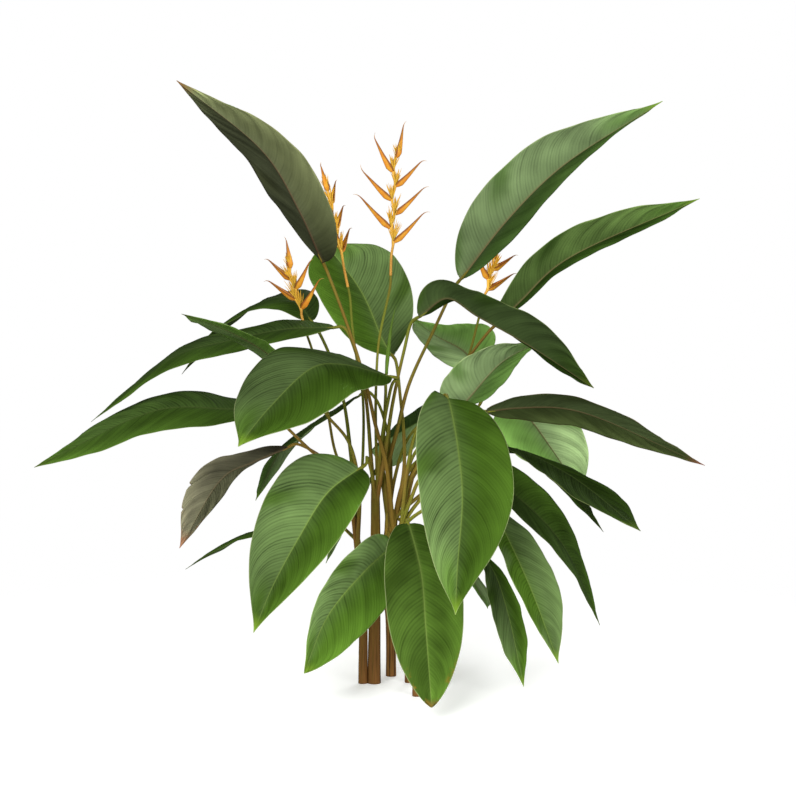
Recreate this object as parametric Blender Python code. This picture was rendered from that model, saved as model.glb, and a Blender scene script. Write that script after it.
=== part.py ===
"""Heliconia clump standing on its cut stems: five shoots, 29 leaf blades, a rolled leaf, four flower heads.

Metres, +Z up. The origin is the centre of the thickest stem's cut face, on the surface that the clump
stands on. +X is to the viewer's right and +Y is away from the viewer.
"""
import math

import bmesh
import bpy
from mathutils import Matrix, Vector

CLEARANCE = 0.0003  # gap kept between solids that touch
CURVE_STEPS = 16  # straight steps between two given points of a curve
ROUGHNESS = 0.5

# Leaf blades
BLADE_THICKNESS = 0.0010
MIDRIB_DEPTH = 0.0030  # how far the midrib stands out below the blade, at its base
BLADE_STATIONS = (0.0, 0.035, 0.11, 0.21, 0.33, 0.46, 0.59, 0.72, 0.84, 0.94, 1.0)
BLADE_COLUMNS = (-1.0, -0.52, 0.0, 0.52, 1.0)
BLADE_NECK = 0.0055  # half width where the blade meets its stalk
BLADE_POINT = 0.0015  # half width at the very tip
EDGE_DROOP = 0.10  # how far the margin sinks, as a share of the half width
EDGE_WAVE = 0.0014  # how far the margin waves up and down
EDGE_WAVES = 3.0
EDGE_WAVE_SKEW = 0.25  # how far the waves of one margin run ahead of the other's
FULL_WAVE_HALF_WIDTH = 0.03  # half width from which the margin waves fully
MIDRIB_TAPER = 0.85  # share of the midrib's depth that is lost towards the tip
BASE_ROUND = 2.4
BASE_FULL = 0.7
TIP_ROUND = 2.3
TIP_DRAWN = 1.35  # higher is more drawn out
BLADE_SAMPLES = 100  # steps of the curve that a blade's stations are read from
WAVE_STEP = 0.37  # share of a wave from one blade's margin to the next one's

# Stalks and stems
STALK_SIDES = 6
STALK_TURN = 0.37  # radians by which a stalk's sides are turned from the last one's
STALK_ROOT_RADIUS = 0.0075
STALK_TOP_RADIUS = 0.0048
STALK_STEP = 0.075  # about one ring of points for each 75 mm of stalk
STALK_LEAD = 0.03  # last stretch of a stalk, in line with the blade
ROUTE_SAMPLES = 40
LOWEST_ROOT = 0.1  # where the lowest stalk leaves its stem, as a share of the stem's last stretch
ROOT_SPREAD = 0.7  # share of that stretch over which the stalks leave
STALK_SHARE_OF_STEM = 0.8  # largest stalk radius, as a share of the stem's top radius
SLIM_STALK = 0.8  # radius of the rolled leaf's and the sprout's stalks, as a share of a leaf stalk's
STEM_SIDES = 12
STEM_RINGS = 9
CUTTER_REACH = 0.001  # how far a cutter runs past the face that it cuts
STEM_UPRIGHT = 0.2  # share of its lean that a stem already has one ring above its cut
FLOWER_STALK_RADIUS = 0.0038
FLOWER_STALK_SWELL = 1.4  # how much thicker a flower stalk is at its root

# Flower heads
RACHIS_RADIUS = 0.0030
RACHIS_FOOT = 1.15  # radius at the foot, as a share of the rachis radius
RACHIS_TOP = 0.8
RACHIS_FIRST_BEND = 0.6  # how far up to the first bract the rachis stays straight
RACHIS_TURN = 0.25  # radians by which its sides are turned
RACHIS_ZIGZAG = 0.004
BRACT_DEPTH = 0.0105
BRACT_HALF_WIDTH = 0.0080
BRACT_WALL = 0.0014
BRACT_ROOT = 0.0022  # half width where a bract leaves the rachis
BRACT_POINT = 0.0007  # half width at a bract's tip
BRACT_SINK = 0.001  # how far a bract's root is sunk into the rachis
BRACT_FULL_AT = 0.16  # share of a bract's length at which it is widest
BRACT_SWELL = 0.55  # how fast it widens up to there
BRACT_FADE = 1.25  # how fast it narrows from there to the tip
BRACT_WALL_SHARE = 0.7  # thickest wall, as a share of the half width
BRACT_RIM_HEIGHT = 0.5  # height of the rims above the middle, as a share of the depth
BRACT_FLOOR = 1.6  # thickness of the floor over the keel, in walls
BRACT_STATIONS = (0.0, 0.06, 0.17, 0.38, 0.60, 0.80, 1.0)
BRACT_RISE = 45  # degrees between a bract and the level across its rachis
TOP_BRACT_RISE = 38  # how many degrees steeper the topmost bract is
TOP_RISE_ONSET = 6  # higher keeps the steeper rise to the bracts nearer the top
BRACT_SAG = 6  # degrees by which a bract starts out flatter than its rise
BRACT_CURVE = 12  # degrees by which it then curves up along its length
BRACT_TIP_CURVE = 14  # degrees by which its tip curves back down
BRACT_TIP_START = 0.78  # share of a bract's length at which the tip starts to curve
BRACT_TAPER = 0.22  # how much shorter the topmost bract is
FLOWER_LENGTH = 0.058
FLOWER_RADIUS = 0.0024
FLOWERS_PER_BRACT = 3
FLOWER_SIDES = 3
FLOWER_TURN = 0.5  # radians by which the first flower's sides are turned
FLOWER_RISE = 86  # degrees between a bract's steepest flower and the level across its rachis
FLOWER_FAN = 17  # degrees from one flower of a bract to the next
FLOWER_STATIONS = (0.0, 0.25, 0.7, 1.0)
FLOWER_WIDTHS = (0.7, 1.0, 0.8, 1 / 6)  # radii at the stations, as shares of the flower's radius
FLOWER_ASIDE = 0.16  # sideways lean from one flower of a bract to the next
FLOWER_SKEW = 0.03  # sideways lean of the middle flower
FLOWER_SHORTER = 0.12  # how much shorter each further flower is
TOP_FLOWERS_SHORTER = 0.3
FLOWER_SEAT = 0.0007  # height of the first flower's root above the bract's
FLOWER_SEAT_STEP = 0.0006
FLOWER_SINK = 0.0004

# Rolled young leaf
ROLLED_LEAF_RADIUS = 0.0062

# Each blade: points on its midrib from base to tip, full width, share of its length at which it is
# widest, then in degrees its roll about the midrib at the base, its further roll towards the tip, and
# how far its halves fold up.
LEAVES = {
    "leaf_01": ([(-0.15, -0.06, 1.275), (-0.212, -0.155, 1.42), (-0.305, -0.23, 1.58),
                 (-0.535, -0.42, 1.77)], 0.28, 0.36, -10, 17, 12),
    "leaf_02": ([(0.055, 0.12, 0.99), (0.025, 0.19, 1.035), (-0.04, 0.31, 1.175), (-0.17, 0.53, 1.345)],
                0.31, 0.56, -25, 8, 24),
    "leaf_03": ([(0.262, 0.06, 1.225), (0.4, -0.045, 1.405), (0.545, -0.135, 1.55), (0.815, -0.3, 1.725)],
                0.245, 0.42, -36, 25, 30),
    "leaf_04": ([(0.375, 0.16, 1.085), (0.45, 0.14, 1.16), (0.57, 0.11, 1.275), (0.975, 0.02, 1.465)],
                0.25, 0.45, -15, -10, 18),
    "leaf_05": ([(0.135, -0.10, 1.115), (0.215, -0.15, 1.17), (0.30, -0.20, 1.12), (0.45, -0.285, 1.035),
                 (0.615, -0.42, 0.925)], 0.22, 0.56, -20, -35, 25),
    "leaf_06": ([(0.335, 0.45, 0.93), (0.28, 0.36, 0.995), (0.185, 0.25, 1.05), (0.125, 0.16, 1.10)],
                0.24, 0.41, 38, -45, 22),
    "leaf_07": ([(0.25, 0.06, 0.83), (0.275, 0.02, 0.855), (0.38, -0.07, 0.98), (0.49, -0.14, 1.045)],
                0.23, 0.35, -16, 4, 19),
    "leaf_08": ([(0.213, -0.25, 0.886), (0.217, -0.28, 0.878), (0.238, -0.37, 0.765),
                 (0.25, -0.45, 0.625), (0.235, -0.5, 0.43), (0.23, -0.5, 0.305)], 0.295, 0.39, -20, 10, 19),
    "leaf_09": ([(0.102, -0.185, 0.514), (0.106, -0.212, 0.506), (0.138, -0.32, 0.39),
                 (0.15, -0.42, 0.25), (0.165, -0.5, 0.045)], 0.22, 0.46, 0, 0, 10),
    "leaf_10": ([(-0.04, -0.14, 0.67), (-0.13, -0.235, 0.61), (-0.205, -0.33, 0.50), (-0.28, -0.41, 0.365),
                 (-0.33, -0.45, 0.245)], 0.29, 0.35, -27, -5, 29),
    "leaf_11": ([(0.055, -0.12, 0.44), (-0.03, -0.22, 0.375), (-0.13, -0.32, 0.265),
                 (-0.19, -0.45, 0.13)], 0.25, 0.41, -86, 5, 28),
    "leaf_12": ([(0.05, -0.12, 0.94), (-0.09, -0.215, 0.98), (-0.17, -0.30, 0.975), (-0.285, -0.395, 0.87),
                 (-0.365, -0.50, 0.77)], 0.31, 0.51, -22, 0, 1),
    "leaf_13": ([(-0.335, -0.02, 0.83), (-0.45, 0.0, 0.835), (-0.65, 0.025, 0.83), (-1.04, 0.08, 0.65)],
                0.25, 0.40, -18, -13, 2),
    "leaf_14": ([(-0.12, 0.0, 1.08), (-0.27, 0.038, 1.073), (-0.45, 0.093, 1.035), (-0.6, 0.112, 0.993),
                 (-0.875, 0.14, 0.785)], 0.23, 0.5, -20, 5, 3),
    "leaf_15": ([(-0.195, 0.155, 1.095), (-0.245, 0.205, 1.155), (-0.315, 0.27, 1.165),
                 (-0.47, 0.38, 1.09), (-0.64, 0.53, 0.91)], 0.23, 0.45, -14, -12, 2),
    "leaf_16": ([(-0.225, -0.045, 0.935), (-0.331, -0.112, 1.021), (-0.431, -0.243, 1.085),
                 (-0.53, -0.39, 1.13)], 0.184, 0.42, -11, 13, 5),
    "leaf_17": ([(-0.26, 0.06, 0.715), (-0.375, 0.145, 0.66), (-0.475, 0.22, 0.605), (-0.63, 0.35, 0.36)],
                0.185, 0.44, 5, 8, 20),
    "leaf_18": ([(-0.045, 0.20, 0.865), (-0.17, 0.31, 0.785), (-0.30, 0.42, 0.68), (-0.40, 0.54, 0.49)],
                0.25, 0.46, -22, 0, 0),
    "leaf_19": ([(-0.15, 0.14, 0.48), (-0.30, 0.22, 0.455), (-0.445, 0.30, 0.40), (-0.62, 0.42, 0.28)],
                0.22, 0.40, -3, -6, 0),
    "leaf_20": ([(0.015, 0.20, 0.64), (-0.03, 0.28, 0.565), (-0.10, 0.39, 0.43), (-0.165, 0.48, 0.29)],
                0.22, 0.42, -50, 13, 5),
    "leaf_21": ([(0.35, -0.14, 0.555), (0.40, -0.24, 0.455), (0.45, -0.36, 0.345), (0.51, -0.55, 0.18)],
                0.19, 0.38, -26, 15, 22),
    "leaf_22": ([(0.30, -0.08, 0.43), (0.355, -0.10, 0.36), (0.395, -0.14, 0.245), (0.44, -0.20, 0.035)],
                0.23, 0.40, -28, 22, 5),
    "leaf_23": ([(0.225, 0.16, 0.40), (0.25, 0.21, 0.37), (0.30, 0.30, 0.29), (0.365, 0.42, 0.15)],
                0.22, 0.42, 35, 4, 5),
    "leaf_24": ([(0.32, 0.02, 0.635), (0.41, 0.07, 0.58), (0.58, 0.185, 0.405), (0.72, 0.32, 0.115)],
                0.245, 0.38, 50, 0, 14),
    "leaf_25": ([(0.325, -0.145, 0.73), (0.405, -0.195, 0.735), (0.56, -0.32, 0.67), (0.735, -0.52, 0.54)],
                0.25, 0.50, -20, 22, 4),
    "leaf_26": ([(0.385, 0.17, 0.70), (0.47, 0.205, 0.675), (0.60, 0.265, 0.575), (0.73, 0.33, 0.415)],
                0.22, 0.42, 5, 5, 3),
    "leaf_27": ([(0.335, -0.02, 0.83), (0.435, -0.03, 0.842), (0.6, -0.05, 0.835), (0.98, -0.1, 0.675)],
                0.25, 0.38, -25, 1, 3),
    "leaf_28": ([(0.4, 0.18, 0.825), (0.465, 0.25, 0.805), (0.565, 0.33, 0.68), (0.67, 0.44, 0.52)],
                0.26, 0.37, -29, 13, 7),
    "leaf_29": ([(0.195, 0.22, 0.81), (0.145, 0.30, 0.775), (0.06, 0.43, 0.715), (-0.02, 0.58, 0.65)],
                0.26, 0.36, -44, -15, -5),
}

# Blades with a tip that is less drawn out than the usual one
BLUNT_TIPS = {"leaf_09": 0.8, "leaf_11": 0.95}

# Each shoot: route of its stem from the cut face up, radius at the cut face and at the top, then the
# route of each stalk between the stem and the blade, flower head or rolled leaf that it carries.
SHOOTS = {
    "shoot_main": {
        "stem": [(0.0, 0.0, 0.0), (0.0, 0.0, 0.035), (0.002, 0.0, 0.25), (0.004, 0.0, 0.46), (0.003, 0.0, 0.62)],
        "radii": (0.020, 0.0125),
        "leaves": {
            "leaf_05": [(0.035, -0.025, 0.715), (0.055, -0.05, 0.85), (0.09, -0.09, 1.015)],
            "leaf_10": [(-0.005, -0.03, 0.635), (-0.02, -0.10, 0.70)],
            "leaf_12": [(0.022, -0.02, 0.73), (0.04, -0.06, 0.85), (0.06, -0.10, 0.925)],
            "leaf_14": [(-0.010, 0.01, 0.695), (-0.025, 0.01, 0.87), (-0.05, 0.0, 0.99)],
        },
        "heads": {"flower_head_tall": [(0.005, 0.0, 0.79), (0.006, 0.0, 0.90), (0.015, 0.0, 1.04)]},
    },
    "shoot_left": {
        "stem": [(-0.034, 0.0, 0.0), (-0.034, 0.0, 0.035), (-0.0335, 0.0, 0.225), (-0.042, 0.006, 0.36),
                 (-0.055, 0.012, 0.46)],
        "radii": (0.0145, 0.010),
        "leaves": {
            "leaf_13": [(-0.09, 0.0, 0.62), (-0.195, -0.01, 0.715), (-0.26, -0.02, 0.78)],
            "leaf_15": [(-0.052, 0.03, 0.525), (-0.07, 0.055, 0.68), (-0.095, 0.095, 0.855), (-0.14, 0.135, 0.995)],
            "leaf_16": [(-0.045, -0.02, 0.60), (-0.075, -0.05, 0.74), (-0.14, -0.08, 0.825)],
            "leaf_17": [(-0.075, 0.02, 0.555), (-0.13, 0.04, 0.66), (-0.19, 0.05, 0.705)],
            "leaf_19": [(-0.075, 0.05, 0.45), (-0.11, 0.10, 0.475)],
        },
        "heads": {
            "flower_head_middle": [(-0.045, 0.035, 0.55), (-0.035, 0.05, 0.685), (-0.035, 0.06, 0.865),
                                   (-0.055, 0.07, 0.99), (-0.068, 0.075, 1.09)],
            "flower_head_left": [(-0.08, 0.02, 0.60), (-0.12, 0.03, 0.71), (-0.14, 0.04, 0.815),
                                 (-0.19, 0.085, 1.01)],
        },
    },
    "shoot_back": {
        "stem": [(0.05, 0.10, 0.0), (0.05, 0.10, 0.035), (0.046, 0.055, 0.20), (0.0265, 0.003, 0.36),
                 (0.042, 0.015, 0.47), (0.042, 0.02, 0.52)],
        "radii": (0.016, 0.0098),
        "leaves": {
            "leaf_03": [(0.040, 0.04, 0.635), (0.05, 0.04, 0.695), (0.07, 0.04, 0.77), (0.105, 0.05, 0.905),
                        (0.18, 0.05, 1.07)],
            "leaf_11": [(0.052, -0.02, 0.40), (0.068, -0.07, 0.44)],
            "leaf_18": [(0.05, 0.08, 0.645), (0.04, 0.14, 0.75), (0.005, 0.18, 0.85)],
            "leaf_20": [(0.03, 0.08, 0.56), (0.02, 0.16, 0.63)],
            "leaf_29": [(0.06, 0.08, 0.61), (0.105, 0.16, 0.735), (0.18, 0.20, 0.805)],
        },
        "heads": {},
        "spear": [(0.027, 0.035, 0.66), (0.03, 0.03, 0.78), (0.035, 0.02, 0.89)],
        "sprout": [(0.04, 0.05, 0.62), (0.043, 0.055, 0.70), (0.046, 0.06, 0.80)],
    },
    "shoot_right": {
        "stem": [(0.105, 0.01, 0.0), (0.105, 0.01, 0.035), (0.093, 0.012, 0.22), (0.066, 0.012, 0.40),
                 (0.059, 0.012, 0.47), (0.059, 0.012, 0.53)],
        "radii": (0.0125, 0.009),
        "leaves": {
            "leaf_01": [(0.037, -0.037, 0.67), (0.005, -0.045, 0.79), (-0.015, -0.055, 0.88),
                        (-0.05, -0.06, 1.005), (-0.10, -0.06, 1.15)],
            "leaf_02": [(0.09, 0.04, 0.645), (0.09, 0.06, 0.75), (0.08, 0.09, 0.855)],
            "leaf_06": [(0.10, 0.08, 0.63), (0.22, 0.24, 0.72), (0.35, 0.46, 0.84)],
            "leaf_28": [(0.11, 0.06, 0.61), (0.22, 0.13, 0.74), (0.325, 0.155, 0.80)],
            "leaf_26": [(0.13, 0.05, 0.56), (0.265, 0.10, 0.65)],
            "leaf_23": [(0.12, 0.05, 0.46), (0.18, 0.11, 0.44)],
        },
        "heads": {"flower_head_right": [(0.12, 0.11, 0.64), (0.20, 0.155, 0.80), (0.288, 0.175, 0.98),
                                        (0.316, 0.175, 1.08)]},
    },
    "shoot_front": {
        "stem": [(0.127, -0.17, 0.0), (0.127, -0.17, 0.035), (0.119, -0.10, 0.20), (0.0785, 0.005, 0.42),
                 (0.087, -0.01, 0.51)],
        "radii": (0.0125, 0.009),
        "leaves": {
            "leaf_04": [(0.12, 0.03, 0.64), (0.20, 0.10, 0.82), (0.285, 0.145, 0.975)],
            "leaf_07": [(0.105, 0.0, 0.66), (0.135, 0.015, 0.72), (0.20, 0.05, 0.79)],
            "leaf_08": [(0.10, -0.06, 0.66), (0.13, -0.12, 0.79), (0.172, -0.185, 0.862)],
            "leaf_09": [(0.10, -0.10, 0.465), (0.10, -0.145, 0.50)],
            "leaf_21": [(0.15, -0.07, 0.54), (0.27, -0.10, 0.595)],
            "leaf_22": [(0.15, -0.05, 0.44), (0.23, -0.065, 0.455)],
            "leaf_24": [(0.155, -0.015, 0.58), (0.245, 0.0, 0.645)],
            "leaf_25": [(0.115, -0.045, 0.58), (0.14, -0.075, 0.635), (0.23, -0.12, 0.70)],
            "leaf_27": [(0.105, -0.03, 0.62), (0.15, -0.035, 0.69), (0.235, -0.02, 0.79)],
        },
        "heads": {},
    },
}

# Each flower head: foot and direction of its orange stalk top, azimuth of its bracts' plane in
# degrees, number of bracts, length of the lowest bract, and how far up the first bract sits.
FLOWER_HEADS = {
    "flower_head_tall": {"foot": (0.050, 0.0, 1.235), "top": (0.063, 0.0, 1.585), "azimuth": 4, "bracts": 7,
                         "first": 0.10, "bract_length": 0.147, "first_side": 1},
    "flower_head_middle": {"foot": (-0.08, 0.08, 1.20), "top": (-0.14, 0.10, 1.49), "azimuth": 60, "bracts": 6,
                           "first": 0.11, "bract_length": 0.12, "first_side": 1},
    "flower_head_left": {"foot": (-0.215, 0.112, 1.085), "top": (-0.26, 0.10, 1.255), "azimuth": -22, "bracts": 5,
                         "first": 0.05, "bract_length": 0.13, "first_side": 1},
    "flower_head_right": {"foot": (0.335, 0.17, 1.155), "top": (0.37, 0.165, 1.285), "azimuth": 25, "bracts": 4,
                          "first": 0.04, "bract_length": 0.115, "first_side": 1},
}

ROLLED_LEAF_WIDTHS = (0.75, 1.0, 1.0, 0.85, 0.6, 0.35, 0.1)  # shares of its radius, from base to tip
ROLLED_LEAF_SIDES = 8
ROLLED_LEAF = [(0.037, 0.02, 0.94), (0.041, 0.02, 0.99), (0.050, 0.02, 1.07), (0.065, 0.02, 1.145)]

COLOURS = {
    "leaf": (0.07, 0.20, 0.03),
    "stem": (0.24, 0.15, 0.06),
    "bract": (0.80, 0.30, 0.04),
    "rolled_leaf": (0.16, 0.26, 0.06),
}


def clear_scene():
    """Removes every object that the file already holds."""
    for old in list(bpy.data.objects):
        bpy.data.objects.remove(old, do_unlink=True)


def plain_material(name, colour):
    """A Principled material with one colour."""
    made = bpy.data.materials.new(name)
    made.use_nodes = True
    shader = made.node_tree.nodes["Principled BSDF"]
    shader.inputs["Base Color"].default_value = (*colour, 1.0)
    shader.inputs["Roughness"].default_value = ROUGHNESS
    shader.inputs["Metallic"].default_value = 0.0
    return made


def smooth_path(points, count):
    """Evenly spaced points on a centripetal Catmull-Rom curve through the given ones."""
    knots = [Vector(p) for p in points]
    knots = [2 * knots[0] - knots[1], *knots, 2 * knots[-1] - knots[-2]]
    dense = []
    for a, b, c, d in zip(knots, knots[1:], knots[2:], knots[3:]):
        t1 = math.sqrt((b - a).length)
        t2 = t1 + math.sqrt((c - b).length)
        t3 = t2 + math.sqrt((d - c).length)
        for step in range(CURVE_STEPS):
            t = t1 + (t2 - t1) * step / CURVE_STEPS
            ab = a.lerp(b, t / t1)
            bc = b.lerp(c, (t - t1) / (t2 - t1))
            cd = c.lerp(d, (t - t2) / (t3 - t2))
            abc = ab.lerp(bc, t / t2)
            bcd = bc.lerp(cd, (t - t1) / (t3 - t1))
            dense.append(abc.lerp(bcd, (t - t1) / (t2 - t1)))
    dense.append(knots[-2])
    travelled = [0.0]
    for start, end in zip(dense, dense[1:]):
        travelled.append(travelled[-1] + (end - start).length)
    even = []
    index = 0
    for number in range(count):
        goal = travelled[-1] * number / (count - 1)
        while index < len(dense) - 2 and travelled[index + 1] < goal:
            index += 1
        share = (goal - travelled[index]) / (travelled[index + 1] - travelled[index])
        even.append(dense[index].lerp(dense[index + 1], min(1.0, share)))
    return even


def path_length(points):
    """Length along a list of points."""
    return sum((end - start).length for start, end in zip(points, points[1:]))


def tangents(path):
    """Unit direction of travel at each point of a path."""
    found = []
    for index in range(len(path)):
        before = path[max(index - 1, 0)]
        after = path[min(index + 1, len(path) - 1)]
        found.append((after - before).normalized())
    return found


def mesh_object(name, mesh_data, material, collection=None):
    """An object from a bmesh, with outward faces, in a collection or in the scene's own."""
    bmesh.ops.recalc_face_normals(mesh_data, faces=mesh_data.faces)
    mesh = bpy.data.meshes.new(name)
    mesh_data.to_mesh(mesh)
    mesh_data.free()
    made = bpy.data.objects.new(name, mesh)
    made.data.materials.append(material)
    (collection or bpy.context.scene.collection).objects.link(made)
    return made


def loft(rings):
    """A closed bmesh through rings of points, with flat ends."""
    built = bmesh.new()
    rows = [[built.verts.new(point) for point in ring] for ring in rings]
    sides = len(rows[0])
    for lower, upper in zip(rows, rows[1:]):
        for side in range(sides):
            after = (side + 1) % sides
            built.faces.new((lower[side], lower[after], upper[after], upper[side]))
    built.faces.new(rows[0][::-1])
    built.faces.new(rows[-1])
    return built


def tube(name, path, radii, sides, material, collection=None, end_direction=None, turn=0.0):
    """A round stalk along a path, with a radius for each of its points; turn is in radians."""
    directions = tangents(path)
    if end_direction is not None:
        directions[-1] = end_direction
    across = directions[0].cross(Vector((0.0, 1.0, 0.0)))
    if across.length < 0.1:
        across = directions[0].cross(Vector((1.0, 0.0, 0.0)))
    rings = []
    for point, direction, radius in zip(path, directions, radii):
        across = (across - across.dot(direction) * direction).normalized()
        second = direction.cross(across)
        ring = []
        for side in range(sides):
            angle = turn + 2 * math.pi * side / sides
            ring.append(point + radius * (math.cos(angle) * across + math.sin(angle) * second))
        rings.append(ring)
    return mesh_object(name, loft(rings), material, collection)


def tapered(count, start, end):
    """Radii that change evenly from one end of a path to the other."""
    return [start + (end - start) * number / (count - 1) for number in range(count)]


def blade_half_width(share, width, peak, drawn):
    """Half the width of a blade at a share of its length: round at the base, drawn out at the tip."""
    if share < peak:
        fullness = (1 - (1 - share / peak) ** BASE_ROUND) ** BASE_FULL
    else:
        fullness = (1 - ((share - peak) / (1 - peak)) ** TIP_ROUND) ** drawn
    return width / 2 * fullness + BLADE_NECK * (1 - share) + BLADE_POINT * share


def blade_axis(points, roll, twist):
    """Midrib points, directions, sideways directions and face directions of a blade."""
    dense = smooth_path(points, BLADE_SAMPLES + 1)
    picked = [round(BLADE_SAMPLES * share) for share in BLADE_STATIONS]
    path = [dense[index] for index in picked]
    all_directions = tangents(dense)
    directions = [all_directions[index] for index in picked]
    heading = path[-1] - path[0]
    level = Vector((-heading.y, heading.x, 0.0)).normalized()
    sides = []
    faces = []
    for share, direction in zip(BLADE_STATIONS, directions):
        side = (level - level.dot(direction) * direction).normalized()
        turn = Matrix.Rotation(math.radians(roll + twist * share), 3, direction)
        side = turn @ side
        sides.append(side)
        faces.append(direction.cross(side))
    return path, directions, sides, faces


def blade(name, points, width, peak, roll, twist, fold, drawn, phase, material):
    """One leaf blade: a thin folded sheet with a raised midrib below, split alike on both faces."""
    path, directions, sides, faces = blade_axis(points, roll, twist)
    built = bmesh.new()
    upper = []
    lower = []
    for share, point, side, face in zip(BLADE_STATIONS, path, sides, faces):
        half = blade_half_width(share, width, peak, drawn)
        top_row = []
        bottom_row = []
        for column in BLADE_COLUMNS:
            out = abs(column)
            turns = EDGE_WAVES * share + phase + EDGE_WAVE_SKEW * column
            ripple = EDGE_WAVE * math.sin(2 * math.pi * turns)
            ripple *= out * out * min(1.0, half / FULL_WAVE_HALF_WIDTH)
            lift = half * (math.sin(math.radians(fold)) * out - EDGE_DROOP * out * out) + ripple
            centre = point + side * half * math.cos(math.radians(fold)) * column + face * lift
            below = BLADE_THICKNESS / 2
            if column == 0.0:
                below += MIDRIB_DEPTH * (1 - MIDRIB_TAPER * share)
            top_row.append(built.verts.new(centre + face * BLADE_THICKNESS / 2))
            bottom_row.append(built.verts.new(centre - face * below))
        upper.append(top_row)
        lower.append(bottom_row)
    last_column = len(BLADE_COLUMNS) - 1
    for row in range(len(BLADE_STATIONS) - 1):
        for column in range(last_column):
            for sheet, flip in ((upper, False), (lower, True)):
                corners = [sheet[row][column], sheet[row + 1][column],
                           sheet[row + 1][column + 1], sheet[row][column + 1]]
                if column < last_column / 2:
                    triangles = [(0, 1, 2), (0, 2, 3)]
                else:
                    triangles = [(0, 1, 3), (1, 2, 3)]
                for triangle in triangles:
                    picked = [corners[corner] for corner in triangle]
                    built.faces.new(picked[::-1] if flip else picked)
        for column in (0, last_column):
            built.faces.new((upper[row][column], upper[row + 1][column],
                             lower[row + 1][column], lower[row][column]))
    for row in (0, len(BLADE_STATIONS) - 1):
        for column in range(last_column):
            built.faces.new((upper[row][column], upper[row][column + 1],
                             lower[row][column + 1], lower[row][column]))
    return mesh_object(name, built, material)


def stalk_path(start, via, end_point, end_direction):
    """Route of a stalk that comes up in line with what it carries and stops just short of it."""
    seat = Vector(end_point) - end_direction * CLEARANCE
    lead = seat - end_direction * STALK_LEAD
    points = [start, *[Vector(p) for p in via], lead, seat]
    rough = smooth_path(points, ROUTE_SAMPLES)
    count = max(4, round(path_length(rough) / STALK_STEP) + 1)
    path = smooth_path(points, count)
    path[-1] = seat
    return path


def apply_booleans(body):
    """Applies the object's Boolean modifiers, and drops the flat flaps that they can leave."""
    graph = bpy.context.evaluated_depsgraph_get()
    finished = bpy.data.meshes.new_from_object(body.evaluated_get(graph))
    body.modifiers.clear()
    body.data = finished
    cleaned = bmesh.new()
    cleaned.from_mesh(finished)
    bmesh.ops.triangulate(cleaned, faces=cleaned.faces)
    by_corners = {}
    for face in cleaned.faces:
        corners = frozenset(corner.index for corner in face.verts)
        by_corners.setdefault(corners, []).append(face)
    flaps = [face for same in by_corners.values() if len(same) == 2 for face in same]
    bmesh.ops.delete(cleaned, geom=flaps, context="FACES_ONLY")
    loose = [edge for edge in cleaned.edges if not edge.link_faces]
    bmesh.ops.delete(cleaned, geom=loose, context="EDGES")
    cleaned.to_mesh(finished)
    cleaned.free()


def fuse(body, parts):
    """Joins the parts of a collection to a body in one closed solid, and removes them."""
    union = body.modifiers.new("grown_together", "BOOLEAN")
    union.operation = "UNION"
    union.operand_type = "COLLECTION"
    union.collection = parts
    union.solver = "EXACT"
    apply_booleans(body)
    for part in list(parts.objects):
        bpy.data.objects.remove(part, do_unlink=True)
    bpy.data.collections.remove(parts)


def new_collection(name):
    """An empty collection, linked to the scene."""
    made = bpy.data.collections.new(name)
    bpy.context.scene.collection.children.link(made)
    return made


def stem_path(shoot):
    """Route of a shoot's stem, upright where it is cut."""
    path = smooth_path(shoot["stem"], STEM_RINGS)
    foot = Vector(shoot["stem"][0])
    path[0] = foot
    path[1].x = foot.x + (path[1].x - foot.x) * STEM_UPRIGHT
    path[1].y = foot.y + (path[1].y - foot.y) * STEM_UPRIGHT
    return path


def stem(name, shoot, swell, material, collection=None):
    """The wrapped sheaths of a shoot as one tapering stem, a little larger by swell."""
    path = stem_path(shoot)
    foot_radius, top_radius = shoot["radii"]
    radii = [radius + swell for radius in tapered(len(path), foot_radius, top_radius)]
    made = tube(name, path, radii, STEM_SIDES, material, collection)
    for vertex in made.data.vertices:
        if vertex.index < STEM_SIDES:
            vertex.co.z = 0.0 if swell == 0.0 else -CUTTER_REACH
    return made


def press_against(body, neighbour, material):
    """Flattens a stem where it lies against a neighbour's stem, with the clearance between them."""
    cutter = stem("neighbour", SHOOTS[neighbour], CLEARANCE, material)
    cut = body.modifiers.new("pressed", "BOOLEAN")
    cut.operation = "DIFFERENCE"
    cut.object = cutter
    cut.solver = "EXACT"
    apply_booleans(body)
    bpy.data.objects.remove(cutter, do_unlink=True)


def stalk(name, path, root_radius, top_radius, end_direction, turn, material, parts):
    """One stalk as a tapering tube in a shoot's collection, cut square to what it carries."""
    radii = tapered(len(path), root_radius, top_radius)
    return tube(name, path, radii, STALK_SIDES, material, parts, end_direction, turn)


def leaf_start(leaf):
    """Base point of a blade and the direction in which it leaves its stalk."""
    points = LEAVES[leaf][0]
    path = smooth_path(points, BLADE_SAMPLES + 1)
    return Vector(points[0]), (path[1] - path[0]).normalized()


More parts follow.
